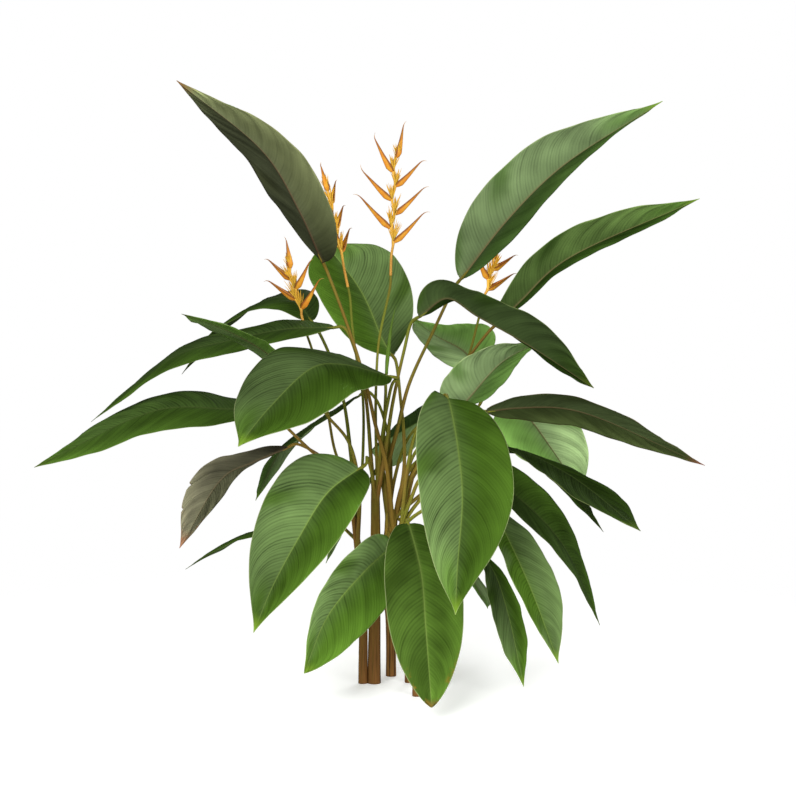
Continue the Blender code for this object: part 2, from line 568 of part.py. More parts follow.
def carried(shoot):
    """What a shoot carries: for each, a name, the stalk's route, seat, direction and radii."""
    root_radius = min(STALK_ROOT_RADIUS, shoot["radii"][1] * STALK_SHARE_OF_STEM)
    slim_radius = root_radius * SLIM_STALK
    found = []
    for leaf, via in shoot["leaves"].items():
        seat, direction = leaf_start(leaf)
        found.append((leaf, via, seat, direction, root_radius, STALK_TOP_RADIUS))
    for head, via in shoot["heads"].items():
        seat = Vector(FLOWER_HEADS[head]["foot"])
        direction = (Vector(FLOWER_HEADS[head]["top"]) - seat).normalized()
        swollen = FLOWER_STALK_RADIUS * FLOWER_STALK_SWELL
        found.append((head, via, seat, direction, swollen, FLOWER_STALK_RADIUS))
    if "spear" in shoot:
        seat = Vector(ROLLED_LEAF[0])
        direction = (Vector(ROLLED_LEAF[1]) - seat).normalized()
        found.append(("rolled_leaf", shoot["spear"], seat, direction, slim_radius, STALK_TOP_RADIUS))
    if "sprout" in shoot:
        seat = Vector(shoot["sprout"][-1])
        direction = (seat - Vector(shoot["sprout"][-2])).normalized()
        found.append(("sprout", shoot["sprout"][:-1], seat, direction, slim_radius, STALK_TOP_RADIUS))
    return found


def shoot_solid(name, shoot, material):
    """A stem with its leaf stalks and flower stalks, grown as one piece."""
    body = stem(name, shoot, 0.0, material)
    parts = new_collection(name + "_stalks")
    path = stem_path(shoot)
    load = carried(shoot)
    for number, (carries, via, seat, direction, root_radius, top_radius) in enumerate(load):
        root = path[-2].lerp(path[-1], LOWEST_ROOT + ROOT_SPREAD * number / len(load))
        route = stalk_path(root, via, seat, direction)
        turn = STALK_TURN * number
        stalk(carries + "_stalk", route, root_radius, top_radius, direction, turn, material, parts)
    fuse(body, parts)
    return body


def bract_rings(root, outward, upward, length, rise):
    """Rings of one bract: a keeled boat that starts in the rachis and ends in a slender tip."""
    rings = []
    point = root.copy()
    previous = 0.0
    across = outward.cross(upward).normalized()
    for share in BRACT_STATIONS:
        tip_curve = BRACT_TIP_CURVE * max(0.0, share - BRACT_TIP_START)
        angle = math.radians(rise - BRACT_SAG + BRACT_CURVE * share - tip_curve)
        direction = (outward * math.cos(angle) + upward * math.sin(angle)).normalized()
        keel = -direction.cross(across).normalized()
        if keel.dot(upward) > 0:
            keel = -keel
        point = point + direction * length * (share - previous)
        previous = share
        widening = min(1.0, share / BRACT_FULL_AT) ** BRACT_SWELL
        fullness = widening * min(1.0, (1 - share) / (1 - BRACT_FULL_AT)) ** BRACT_FADE
        half = BRACT_HALF_WIDTH * fullness + BRACT_ROOT * (1 - share) + BRACT_POINT * share
        depth = BRACT_DEPTH * fullness + BRACT_ROOT * (1 - share) + BRACT_POINT * share
        wall = min(BRACT_WALL, half * BRACT_WALL_SHARE)
        rim = keel * depth * BRACT_RIM_HEIGHT
        rings.append([
            point + keel * depth,
            point + across * half - rim,
            point + across * (half - wall) - rim,
            point + keel * (depth - wall * BRACT_FLOOR),
            point - across * (half - wall) - rim,
            point - across * half - rim,
        ])
    return rings


def bract(name, root, outward, upward, length, rise, material, parts):
    """One bract of a flower head."""
    return mesh_object(name, loft(bract_rings(root, outward, upward, length, rise)), material, parts)


def flower(name, root, direction, length, turn, material, parts):
    """One upright flower as a slim spindle rooted in the rachis."""
    path = [root + direction * length * share for share in FLOWER_STATIONS]
    radii = [FLOWER_RADIUS * width for width in FLOWER_WIDTHS]
    return tube(name, path, radii, FLOWER_SIDES, material, parts, None, turn)


def flower_head(name, head, material):
    """A zigzag rachis with its bracts in two rows and a tuft of flowers in each."""
    foot = Vector(head["foot"])
    top = Vector(head["top"])
    upward = (top - foot).normalized()
    azimuth = math.radians(head["azimuth"])
    plane = Vector((math.cos(azimuth), math.sin(azimuth), 0.0))
    plane = (plane - plane.dot(upward) * upward).normalized()
    first = head["first"]
    count = head["bracts"]
    spacing = ((top - foot).length - first) / (count - 1)
    nodes = []
    for number in range(count):
        side = head["first_side"] * (1 if number % 2 == 0 else -1)
        nodes.append(foot + upward * (first + spacing * number) + plane * side * RACHIS_ZIGZAG)
    route = [foot, foot + upward * first * RACHIS_FIRST_BEND, *nodes]
    radii = tapered(len(route), RACHIS_RADIUS * RACHIS_FOOT, RACHIS_RADIUS * RACHIS_TOP)
    body = tube(name, route, radii, STALK_SIDES, material, None, None, RACHIS_TURN)
    parts = new_collection(name + "_parts")
    for number, node in enumerate(nodes):
        share = number / (count - 1)
        side = head["first_side"] * (1 if number % 2 == 0 else -1)
        outward = plane * side
        rise = BRACT_RISE + TOP_BRACT_RISE * share ** TOP_RISE_ONSET
        length = head["bract_length"] * (1 - BRACT_TAPER * share)
        root = node - (upward + outward) * BRACT_SINK
        bract(f"bract_{number}", root, outward, upward, length, rise, material, parts)
        for spike in range(FLOWERS_PER_BRACT):
            lean = math.radians(FLOWER_RISE - FLOWER_FAN * spike)
            aside = (spike - (FLOWERS_PER_BRACT - 1) / 2) * FLOWER_ASIDE + FLOWER_SKEW
            direction = outward * math.cos(lean) + upward * math.sin(lean) + outward.cross(upward) * aside
            reach = FLOWER_LENGTH * (1 - FLOWER_SHORTER * spike) * (1 - TOP_FLOWERS_SHORTER * share)
            seat = node + upward * (FLOWER_SEAT + FLOWER_SEAT_STEP * spike) + direction * FLOWER_SINK
            flower(f"flower_{number}_{spike}", seat, direction.normalized(), reach,
                   FLOWER_TURN + spike, material, parts)
    fuse(body, parts)
    return body


def rolled_leaf(material):
    """The young leaf that is still rolled up into a spear."""
    path = smooth_path(ROLLED_LEAF, len(ROLLED_LEAF_WIDTHS))
    radii = [ROLLED_LEAF_RADIUS * width for width in ROLLED_LEAF_WIDTHS]
    return tube("rolled_leaf", path, radii, ROLLED_LEAF_SIDES, material)


def main():
    """Builds the clump."""
    clear_scene()
    materials = {name: plain_material(name, colour) for name, colour in COLOURS.items()}
    for number, (name, leaf) in enumerate(LEAVES.items()):
        drawn = BLUNT_TIPS.get(name, TIP_DRAWN)
        blade(name, *leaf, drawn, WAVE_STEP * number % 1.0, materials["leaf"])
    for name, shoot in SHOOTS.items():
        shoot_solid(name, shoot, materials["stem"])
    made = bpy.data.objects
    press_against(made["shoot_left"], "shoot_main", materials["stem"])
    press_against(made["shoot_back"], "shoot_main", materials["stem"])
    press_against(made["shoot_right"], "shoot_back", materials["stem"])
    press_against(made["shoot_front"], "shoot_right", materials["stem"])
    for name, head in FLOWER_HEADS.items():
        flower_head(name, head, materials["bract"])
    rolled_leaf(materials["rolled_leaf"])


main()
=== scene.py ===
"""Heliconia clump: leaf blades, shoots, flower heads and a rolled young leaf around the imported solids.

Metres, +Z up. The origin is the centre of the thickest stem's cut face, on the surface that the clump
stands on. +X is to the viewer's right and +Y is away from the viewer.
"""
import math
import random

import bpy
import numpy as np
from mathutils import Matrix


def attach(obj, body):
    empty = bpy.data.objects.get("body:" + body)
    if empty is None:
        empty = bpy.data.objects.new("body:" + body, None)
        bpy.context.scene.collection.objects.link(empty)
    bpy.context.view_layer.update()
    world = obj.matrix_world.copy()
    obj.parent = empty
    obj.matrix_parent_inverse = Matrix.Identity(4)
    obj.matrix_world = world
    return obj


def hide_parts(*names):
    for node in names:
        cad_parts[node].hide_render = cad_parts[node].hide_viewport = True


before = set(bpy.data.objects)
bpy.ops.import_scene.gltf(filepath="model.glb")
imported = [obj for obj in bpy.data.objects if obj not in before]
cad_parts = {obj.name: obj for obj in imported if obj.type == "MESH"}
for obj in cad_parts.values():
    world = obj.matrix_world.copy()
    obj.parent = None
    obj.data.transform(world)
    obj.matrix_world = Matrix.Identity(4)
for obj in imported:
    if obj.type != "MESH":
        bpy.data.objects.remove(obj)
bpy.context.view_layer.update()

bl_info = {
    "name": "Heliconia clump",
    "version": (1, 0, 0),
    "blender": (4, 5, 0),
    "location": "3D View > Sidebar > Heliconia",
    "description": "Builds a standing heliconia clump with leaves, stems, stalks and flower heads",
    "category": "Object",
}

# Leaf blades, as in the solids
BLADE_NECK = 0.0055
BLADE_POINT = 0.0015
EDGE_DROOP = 0.10
EDGE_WAVE = 0.0014
EDGE_WAVES = 3.0
BASE_ROUND = 2.4
BASE_FULL = 0.7
TIP_ROUND = 2.3
TIP_DRAWN = 1.35
CURVE_SAMPLES = 401
SPAN_STEPS = 32
ROWS_PER_VEIN = 3
MARGIN_COLUMNS = 9
RIB_WIDE = 0.0042
RIB_NARROW = 0.0011
RIB_DEPTH = 0.0048
RIB_TIP_DEPTH = 0.0007
VEIN_SWEEP = 0.95
VEIN_TIP_SWEEP = 1.1
VEIN_SLANT = 0.58
VEIN_BEND = 2.6

# Finer forms of the blades: columns beside the midrib in half rib widths and, at most, in half blade
# widths; how much the gaps between veins vary; number and height of the margin's smaller waves;
# numbers of pleats; strengths of the veins; half width below which waves and veins fade out; how much
# thinner the rim is; depth and width of the midrib's groove as shares of the thickness and the rib;
# where the veins start beside the rib, how far they take to rise, and where they end at the margin
RIB_COLUMNS = (0.0, 0.4, 0.75, 1.0, 1.5)
RIB_COLUMN_LIMITS = (0.0, 0.15, 0.3, 0.42, 0.55)
COLUMN_CROWDING = 1.25
LEAST_VEINS = 6
VEIN_GAPS = (0.75, 1.25)
WAVE_SHIFT = 0.37
SMALL_WAVES = ((4.3, 0.0012), (8.1, 0.0006))
PLEATS = (6.3, 9.7)
PLEAT_HEIGHT = 0.0009
VEIN_STRENGTHS = (0.45, 0.7, 0.7, 1.0, 1.5)
NARROW = 0.03
RIM_THINNING = 0.55
GROOVE_DEPTH = 0.35
GROOVE_WIDTH = 0.6
VEIN_START = 1.2
VEIN_RISE = 0.008
VEIN_END = 0.06

# Stems: rows and sides of their mesh, number of sheaths, how far an edge wanders round the stem, share
# of its length at which a stem closes, and its shades of green and red at the foot and at the top
STEM_ROWS = 72
STEM_SIDES = 64
SHEATHS = 4
SHEATH_DRIFT = 0.5
STEM_SHOULDER = 0.93
STEM_ROUNDING = 0.075
STEM_GREEN = (0.05, 0.40)
STEM_RED = (0.5, 0.2)

# Heights between which leaves hide the stems in shade, and how much painted light brightens the stems and
# stalks there
HIDDEN_HEIGHTS = (0.22, 0.42, 0.65, 0.95)
HIDDEN_LIGHT = (0.0, 0.9, 0.63, 0.0)

# Stalks: sides and row length of their mesh; radii at the root, under a blade and under a flower head;
# length of their straight end; depth of the channel and of the swelling below a blade, as shares of
# the radius; and the end that runs on under a blade: shares of the midrib, how deep it lies, radii
STALK_SIDES = 18
STALK_STEP = 0.011
STALK_ROOT = 0.0075
STALK_END = 0.0048
HEAD_STALK = 0.0038
STALK_LEAD = 0.03
STALK_CHANNEL = 0.22
STALK_KNOT = 0.16
TAIL_SHARES = (0.006, 0.014, 0.024, 0.036, 0.05)
TAIL_SUNK = (0.0008, 0.0016, 0.0022, 0.0026, 0.0030)
TAIL_RADII = (0.0044, 0.0040, 0.0034, 0.0027, 0.0012)
TO_VIEWER = (0.0, -1.0, 0.0)

# Flower heads: half width, depth and wall of a bract, radius of its foot and of its tip; radii of the
# zigzag stalk and how far it swings out; shape and thickness of a flower
BRACT_ROWS = 34
BRACT_COLUMNS = 15
BRACT_HALF = 0.0080
BRACT_DEPTH = 0.0105
BRACT_FOOT = 0.0024
BRACT_TIP = 0.0004
BRACT_WALL = 0.0011
RACHIS_ROWS = 160
RACHIS_SIDES = 16
RACHIS_RADII = (0.0042, 0.0026)
RACHIS_END = (0.9, 0.75, 0.5, 0.15)
RACHIS_KNOT = 0.35
RACHIS_KNOT_REACH = 0.007
ZIGZAG = 0.004
FLOWER_SIDES = 8
FLOWER_SHAPE = (0.6, 0.75, 0.95, 1.05, 1.0, 0.9, 0.75, 0.5, 0.12)
FLOWER_THICKNESS = (0.0010, 0.0016)

# How bracts and flowers are set, in degrees: rise of the lowest bract, how much steeper the top one
# is, and the spread of it; how much a bract bends up, sags and curls; lean of a tuft's first flower
# and the range up to its last. Then, as shares: how much shorter the top bract is, how far flowers
# spread sideways, and their lengths
BRACT_RISE = 45
BRACT_TOP_RISE = 38
BRACT_RISE_SPREAD = 3
BRACT_BEND = 12
BRACT_SAG = 14
BRACT_CURL = 25
CURLS = (20, 60)
FLOWER_LEAN = 108
FLOWER_LEAN_RANGE = 40
BRACT_SHORTER = 0.22
FLOWER_SPREAD = 0.3
FLOWER_LENGTHS = (0.55, 1.0)
FLOWER_SEATS = (-0.004, 0.010)
BRACT_SUNK = 0.001

# Rolled leaf: radius, shares of it from the foot to the point, and how often its edge winds round
SPEAR_ROWS = 90
SPEAR_SIDES = 40
SPEAR_RADIUS = 0.0062
SPEAR_SHAPE = (0.78, 1.0, 1.0, 0.85, 0.6, 0.35, 0.06)
SPEAR_TURNS = 1.6

# Leaf surface: clouds in a metre; how far the pattern runs ahead at the margin; place, darkness and
# green of the patch where the painted sheen of the greyish half gives way; waver and sharpness of the
# grooves; painted glow of the green margin; strength of the dry margin; relief in metres
CLOUDS = 7.0
MARGIN_LEAD = 0.10
PATCH_PLACE = 0.33
PATCH_SHADE = 0.35
PATCH_GREEN = 0.75
VEIN_WAVER = 0.4
GROOVE_POWER = 1.6
MARGIN_GLOW = 0.5
MARGIN_STRENGTH = 0.36
LEAF_RELIEF = 0.0004

# Stem surface: streaks and fibres round a stem and along a metre of it; and how glossy flower heads are
STREAKS = (4.5, 1.6)
FIBRES = (11.0, 9.0)
FLOWER_SHINE = 0.2

# Each blade: points on its midrib from base to tip, full width, share of its length at which it is
# widest, then in degrees its roll about the midrib at the base, its further roll towards the tip, and
# how far its halves fold up.
LEAVES = {
    "leaf_01": ([(-0.15, -0.06, 1.275), (-0.212, -0.155, 1.42), (-0.305, -0.23, 1.58),
                 (-0.535, -0.42, 1.77)], 0.28, 0.36, -10, 17, 12),
    "leaf_02": ([(0.055, 0.12, 0.99), (0.025, 0.19, 1.035), (-0.04, 0.31, 1.175), (-0.17, 0.53, 1.345)],
                0.31, 0.56, -25, 8, 24),
    "leaf_03": ([(0.262, 0.06, 1.225), (0.4, -0.045, 1.405), (0.545, -0.135, 1.55), (0.815, -0.3, 1.725)],
                0.245, 0.42, -36, 25, 30),
    "leaf_04": ([(0.375, 0.16, 1.085), (0.45, 0.14, 1.16), (0.57, 0.11, 1.275), (0.975, 0.02, 1.465)],
                0.25, 0.45, -15, -10, 18),
    "leaf_05": ([(0.135, -0.10, 1.115), (0.215, -0.15, 1.17), (0.30, -0.20, 1.12), (0.45, -0.285, 1.035),
                 (0.615, -0.42, 0.925)], 0.22, 0.56, -20, -35, 25),
    "leaf_06": ([(0.335, 0.45, 0.93), (0.28, 0.36, 0.995), (0.185, 0.25, 1.05), (0.125, 0.16, 1.10)],
                0.24, 0.41, 38, -45, 22),
    "leaf_07": ([(0.25, 0.06, 0.83), (0.275, 0.02, 0.855), (0.38, -0.07, 0.98), (0.49, -0.14, 1.045)],
                0.23, 0.35, -16, 4, 19),
    "leaf_08": ([(0.213, -0.25, 0.886), (0.217, -0.28, 0.878), (0.238, -0.37, 0.765),
                 (0.25, -0.45, 0.625), (0.235, -0.5, 0.43), (0.23, -0.5, 0.305)], 0.295, 0.39, -20, 10, 19),
    "leaf_09": ([(0.102, -0.185, 0.514), (0.106, -0.212, 0.506), (0.138, -0.32, 0.39),
                 (0.15, -0.42, 0.25), (0.165, -0.5, 0.045)], 0.22, 0.46, 0, 0, 10),
    "leaf_10": ([(-0.04, -0.14, 0.67), (-0.13, -0.235, 0.61), (-0.205, -0.33, 0.50), (-0.28, -0.41, 0.365),
                 (-0.33, -0.45, 0.245)], 0.29, 0.35, -27, -5, 29),
    "leaf_11": ([(0.055, -0.12, 0.44), (-0.03, -0.22, 0.375), (-0.13, -0.32, 0.265),
                 (-0.19, -0.45, 0.13)], 0.25, 0.41, -86, 5, 28),
    "leaf_12": ([(0.05, -0.12, 0.94), (-0.09, -0.215, 0.98), (-0.17, -0.30, 0.975), (-0.285, -0.395, 0.87),
                 (-0.365, -0.50, 0.77)], 0.31, 0.51, -22, 0, 1),
    "leaf_13": ([(-0.335, -0.02, 0.83), (-0.45, 0.0, 0.835), (-0.65, 0.025, 0.83), (-1.04, 0.08, 0.65)],
                0.25, 0.40, -18, -13, 2),
    "leaf_14": ([(-0.12, 0.0, 1.08), (-0.27, 0.038, 1.073), (-0.45, 0.093, 1.035), (-0.6, 0.112, 0.993),
                 (-0.875, 0.14, 0.785)], 0.23, 0.5, -20, 5, 3),
    "leaf_15": ([(-0.195, 0.155, 1.095), (-0.245, 0.205, 1.155), (-0.315, 0.27, 1.165),
                 (-0.47, 0.38, 1.09), (-0.64, 0.53, 0.91)], 0.23, 0.45, -14, -12, 2),
    "leaf_16": ([(-0.225, -0.045, 0.935), (-0.331, -0.112, 1.021), (-0.431, -0.243, 1.085),
                 (-0.53, -0.39, 1.13)], 0.184, 0.42, -11, 13, 5),
    "leaf_17": ([(-0.26, 0.06, 0.715), (-0.375, 0.145, 0.66), (-0.475, 0.22, 0.605), (-0.63, 0.35, 0.36)],
                0.185, 0.44, 5, 8, 20),
    "leaf_18": ([(-0.045, 0.20, 0.865), (-0.17, 0.31, 0.785), (-0.30, 0.42, 0.68), (-0.40, 0.54, 0.49)],
                0.25, 0.46, -22, 0, 0),
    "leaf_19": ([(-0.15, 0.14, 0.48), (-0.30, 0.22, 0.455), (-0.445, 0.30, 0.40), (-0.62, 0.42, 0.28)],
                0.22, 0.40, -3, -6, 0),
    "leaf_20": ([(0.015, 0.20, 0.64), (-0.03, 0.28, 0.565), (-0.10, 0.39, 0.43), (-0.165, 0.48, 0.29)],
                0.22, 0.42, -50, 13, 5),
    "leaf_21": ([(0.35, -0.14, 0.555), (0.40, -0.24, 0.455), (0.45, -0.36, 0.345), (0.51, -0.55, 0.18)],
                0.19, 0.38, -26, 15, 22),
    "leaf_22": ([(0.30, -0.08, 0.43), (0.355, -0.10, 0.36), (0.395, -0.14, 0.245), (0.44, -0.20, 0.035)],
                0.23, 0.40, -28, 22, 5),
    "leaf_23": ([(0.225, 0.16, 0.40), (0.25, 0.21, 0.37), (0.30, 0.30, 0.29), (0.365, 0.42, 0.15)],
                0.22, 0.42, 35, 4, 5),
    "leaf_24": ([(0.32, 0.02, 0.635), (0.41, 0.07, 0.58), (0.58, 0.185, 0.405), (0.72, 0.32, 0.115)],
                0.245, 0.38, 50, 0, 14),
    "leaf_25": ([(0.325, -0.145, 0.73), (0.405, -0.195, 0.735), (0.56, -0.32, 0.67), (0.735, -0.52, 0.54)],
                0.25, 0.50, -20, 22, 4),
    "leaf_26": ([(0.385, 0.17, 0.70), (0.47, 0.205, 0.675), (0.60, 0.265, 0.575), (0.73, 0.33, 0.415)],
                0.22, 0.42, 5, 5, 3),
    "leaf_27": ([(0.335, -0.02, 0.83), (0.435, -0.03, 0.842), (0.6, -0.05, 0.835), (0.98, -0.1, 0.675)],
                0.25, 0.38, -25, 1, 3),
    "leaf_28": ([(0.4, 0.18, 0.825), (0.465, 0.25, 0.805), (0.565, 0.33, 0.68), (0.67, 0.44, 0.52)],
                0.26, 0.37, -29, 13, 7),
    "leaf_29": ([(0.195, 0.22, 0.81), (0.145, 0.30, 0.775), (0.06, 0.43, 0.715), (-0.02, 0.58, 0.65)],
                0.26, 0.36, -44, -15, -5),
}

# Blades with a tip that is less drawn out than the usual one
BLUNT_TIPS = {"leaf_09": 0.8, "leaf_11": 0.95}

# Each blade: finish of its upper side and underside, the deep and shaded ones being darker copies that
# paint shade; then how light the tissue of its greyish half is at the base and at the tip, and the same
# for its greener half: painted light and shade
LEAF_FINISHES = {
    "leaf_01": ("fresh", "olive", 0.5, 0.95, 0.36, 2.6),
    "leaf_02": ("fresh", "pale", 0.4, 2.8, 1.2, 1.3),
    "leaf_03": ("fresh", "pale", 0.72, 1.15, 0.7, 0.85),
    "leaf_04": ("fresh", "green", 0.6, 1.95, 0.9, 1.45),
    "leaf_05": ("deep", "shaded", 1.0, 0.55, 0.75, 0.75),
    "leaf_06": ("fresh", "pale", 2.2, 2.2, 2.1, 2.1),
    "leaf_07": ("fresh", "pale", 1.4, 1.45, 2.1, 2.1),
    "leaf_08": ("fresh", "pale", 0.76, 1.8, 0.74, 0.89),
    "leaf_09": ("old", "pale", 0.75, 0.75, 1.05, 1.6),
    "leaf_10": ("fresh", "pale", 1.95, 0.65, 0.97, 1.0),
    "leaf_11": ("fresh", "pale", 2.4, 1.9, 1.55, 1.6),
    "leaf_12": ("fresh", "pale", 0.42, 0.97, 0.65, 0.65),
    "leaf_13": ("deep", "pale", 1.0, 2.1, 0.88, 1.75),
    "leaf_14": ("deep", "shaded", 1.1, 1.1, 0.8, 1.2),
    "leaf_15": ("deep", "shaded", 0.8, 0.8, 0.8, 0.8),
    "leaf_16": ("deep", "shaded", 2.4, 2.4, 2.2, 2.2),
    "leaf_17": ("deep", "faded", 0.6, 2.2, 0.14, 2.1),
    "leaf_18": ("deep", "pale", 1.0, 1.0, 1.0, 1.0),
    "leaf_19": ("deep", "shaded", 1.0, 1.0, 1.0, 1.0),
    "leaf_20": ("fresh", "pale", 1.0, 1.0, 1.0, 1.0),
    "leaf_21": ("turned", "pale", 1.5, 1.5, 1.05, 1.15),
    "leaf_22": ("fresh", "green", 1.25, 1.35, 1.35, 1.35),
    "leaf_23": ("fresh", "pale", 1.0, 1.0, 1.0, 1.0),
    "leaf_24": ("deep", "shaded", 1.22, 1.22, 1.22, 1.22),
    "leaf_25": ("deep", "shaded", 0.55, 0.55, 0.5, 0.5),
    "leaf_26": ("deep", "shaded", 0.8, 0.8, 0.8, 0.8),
    "leaf_27": ("deep", "amber", 0.9, 0.85, 0.85, 0.85),
    "leaf_28": ("fresh", "pale", 2.5, 2.5, 2.7, 2.7),
    "leaf_29": ("bleached", "pale", 0.5, 0.5, 2.0, 2.2),
}

# Torn notches: side, share of the midrib where the vein that tears starts, depth as a share of the
# half width, and how many veins wide the tear is
TEARS = {
    "leaf_17": [(1, 0.42, 0.30, 0.8), (1, 0.56, 0.22, 0.6)],
    "leaf_09": [(-1, 0.93, 0.35, 0.9)],
}

# Each shoot: route of its stem from the cut face up, radius at the cut face and at the top, how much
# painted light brightens it if that differs from the others, then the route of each stalk between the
# stem and the blade, flower head or rolled leaf that it carries. The sprout carries nothing.
SHOOTS = {
    "shoot_main": {
        "stem": [(0.0, 0.0, 0.0), (0.0, 0.0, 0.035), (0.002, 0.0, 0.25), (0.004, 0.0, 0.46),
                 (0.003, 0.0, 0.62)],
        "radii": (0.020, 0.0125),
        "leaves": {
            "leaf_05": [(0.035, -0.025, 0.715), (0.055, -0.05, 0.85), (0.09, -0.09, 1.015)],
            "leaf_10": [(-0.005, -0.03, 0.635), (-0.02, -0.10, 0.70)],
            "leaf_12": [(0.022, -0.02, 0.73), (0.04, -0.06, 0.85), (0.06, -0.10, 0.925)],
            "leaf_14": [(-0.010, 0.01, 0.695), (-0.025, 0.01, 0.87), (-0.05, 0.0, 0.99)],
        },
        "heads": {"flower_head_tall": [(0.005, 0.0, 0.79), (0.006, 0.0, 0.90), (0.015, 0.0, 1.04)]},
    },
    "shoot_left": {
        "stem": [(-0.034, 0.0, 0.0), (-0.034, 0.0, 0.035), (-0.0335, 0.0, 0.225), (-0.042, 0.006, 0.36),
                 (-0.055, 0.012, 0.46)],
        "radii": (0.0145, 0.010),
        "leaves": {
            "leaf_13": [(-0.09, 0.0, 0.62), (-0.195, -0.01, 0.715), (-0.26, -0.02, 0.78)],
            "leaf_15": [(-0.052, 0.03, 0.525), (-0.07, 0.055, 0.68), (-0.095, 0.095, 0.855),
                        (-0.14, 0.135, 0.995)],
            "leaf_16": [(-0.045, -0.02, 0.60), (-0.075, -0.05, 0.74), (-0.14, -0.08, 0.825)],
            "leaf_17": [(-0.075, 0.02, 0.555), (-0.13, 0.04, 0.66), (-0.19, 0.05, 0.705)],
            "leaf_19": [(-0.075, 0.05, 0.45), (-0.11, 0.10, 0.475)],
        },
        "heads": {
            "flower_head_middle": [(-0.045, 0.035, 0.55), (-0.035, 0.05, 0.685), (-0.035, 0.06, 0.865),
                                   (-0.055, 0.07, 0.99), (-0.068, 0.075, 1.09)],
            "flower_head_left": [(-0.08, 0.02, 0.60), (-0.12, 0.03, 0.71), (-0.14, 0.04, 0.815),
                                 (-0.19, 0.085, 1.01)],
        },
    },
    "shoot_back": {
        "stem": [(0.05, 0.10, 0.0), (0.05, 0.10, 0.035), (0.046, 0.055, 0.20), (0.0265, 0.003, 0.36),
                 (0.042, 0.015, 0.47), (0.042, 0.02, 0.52)],
        "radii": (0.016, 0.0098),
        "tone": 1.5,
        "leaves": {
            "leaf_03": [(0.040, 0.04, 0.635), (0.05, 0.04, 0.695), (0.07, 0.04, 0.77), (0.105, 0.05, 0.905),
                        (0.18, 0.05, 1.07)],
            "leaf_11": [(0.052, -0.02, 0.40), (0.068, -0.07, 0.44)],
            "leaf_18": [(0.05, 0.08, 0.645), (0.04, 0.14, 0.75), (0.005, 0.18, 0.85)],
            "leaf_20": [(0.03, 0.08, 0.56), (0.02, 0.16, 0.63)],
            "leaf_29": [(0.06, 0.08, 0.61), (0.105, 0.16, 0.735), (0.18, 0.20, 0.805)],
        },
        "heads": {},
        "rolled_leaf": [(0.027, 0.035, 0.66), (0.03, 0.03, 0.78), (0.035, 0.02, 0.89)],
        "sprout": [(0.04, 0.05, 0.62), (0.043, 0.055, 0.70), (0.046, 0.06, 0.80)],
    },
    "shoot_right": {
        "stem": [(0.105, 0.01, 0.0), (0.105, 0.01, 0.035), (0.093, 0.012, 0.22), (0.066, 0.012, 0.40),
                 (0.059, 0.012, 0.47), (0.059, 0.012, 0.53)],
        "radii": (0.0125, 0.009),
        "leaves": {
            "leaf_01": [(0.037, -0.037, 0.67), (0.005, -0.045, 0.79), (-0.015, -0.055, 0.88),
                        (-0.05, -0.06, 1.005), (-0.10, -0.06, 1.15)],
            "leaf_02": [(0.09, 0.04, 0.645), (0.09, 0.06, 0.75), (0.08, 0.09, 0.855)],
            "leaf_06": [(0.10, 0.08, 0.63), (0.22, 0.24, 0.72), (0.35, 0.46, 0.84)],
            "leaf_28": [(0.11, 0.06, 0.61), (0.22, 0.13, 0.74), (0.325, 0.155, 0.80)],
            "leaf_26": [(0.13, 0.05, 0.56), (0.265, 0.10, 0.65)],
            "leaf_23": [(0.12, 0.05, 0.46), (0.18, 0.11, 0.44)],
        },
        "heads": {"flower_head_right": [(0.12, 0.11, 0.64), (0.20, 0.155, 0.80), (0.288, 0.175, 0.98),
                                        (0.316, 0.175, 1.08)]},
    },
    "shoot_front": {
        "stem": [(0.127, -0.17, 0.0), (0.127, -0.17, 0.035), (0.119, -0.10, 0.20), (0.0785, 0.005, 0.42),
                 (0.087, -0.01, 0.51)],
        "radii": (0.0125, 0.009),
        "leaves": {
            "leaf_04": [(0.12, 0.03, 0.64), (0.20, 0.10, 0.82), (0.285, 0.145, 0.975)],
            "leaf_07": [(0.105, 0.0, 0.66), (0.135, 0.015, 0.72), (0.20, 0.05, 0.79)],
            "leaf_08": [(0.10, -0.06, 0.66), (0.13, -0.12, 0.79), (0.172, -0.185, 0.862)],
            "leaf_09": [(0.10, -0.10, 0.465), (0.10, -0.145, 0.50)],
            "leaf_21": [(0.15, -0.07, 0.54), (0.27, -0.10, 0.595)],
            "leaf_22": [(0.15, -0.05, 0.44), (0.23, -0.065, 0.455)],
            "leaf_24": [(0.155, -0.015, 0.58), (0.245, 0.0, 0.645)],
            "leaf_25": [(0.115, -0.045, 0.58), (0.14, -0.075, 0.635), (0.23, -0.12, 0.70)],
            "leaf_27": [(0.105, -0.03, 0.62), (0.15, -0.035, 0.69), (0.235, -0.02, 0.79)],
        },
        "heads": {},
    },
}

# How green each stalk is at its root and at its top, from 0 for brown to 1 for green
STALK_GREEN = {
    "leaf_01": (0.1, 0.35), "leaf_02": (0.05, 0.7), "leaf_03": (0.25, 0.5), "leaf_04": (0.1, 0.15),
    "leaf_05": (0.4, 0.7), "leaf_07": (0.5, 0.8), "leaf_08": (0.4, 0.7), "leaf_12": (0.4, 0.75),
    "leaf_13": (0.15, 0.2), "leaf_14": (0.45, 0.6), "leaf_15": (0.7, 0.95), "leaf_16": (0.3, 0.5),
    "leaf_17": (0.15, 0.2), "flower_head_middle": (0.7, 0.95), "flower_head_tall": (0.5, 0.7),
    "flower_head_left": (0.4, 0.6), "flower_head_right": (0.5, 0.6),
}
USUAL_GREEN = (0.35, 0.65)
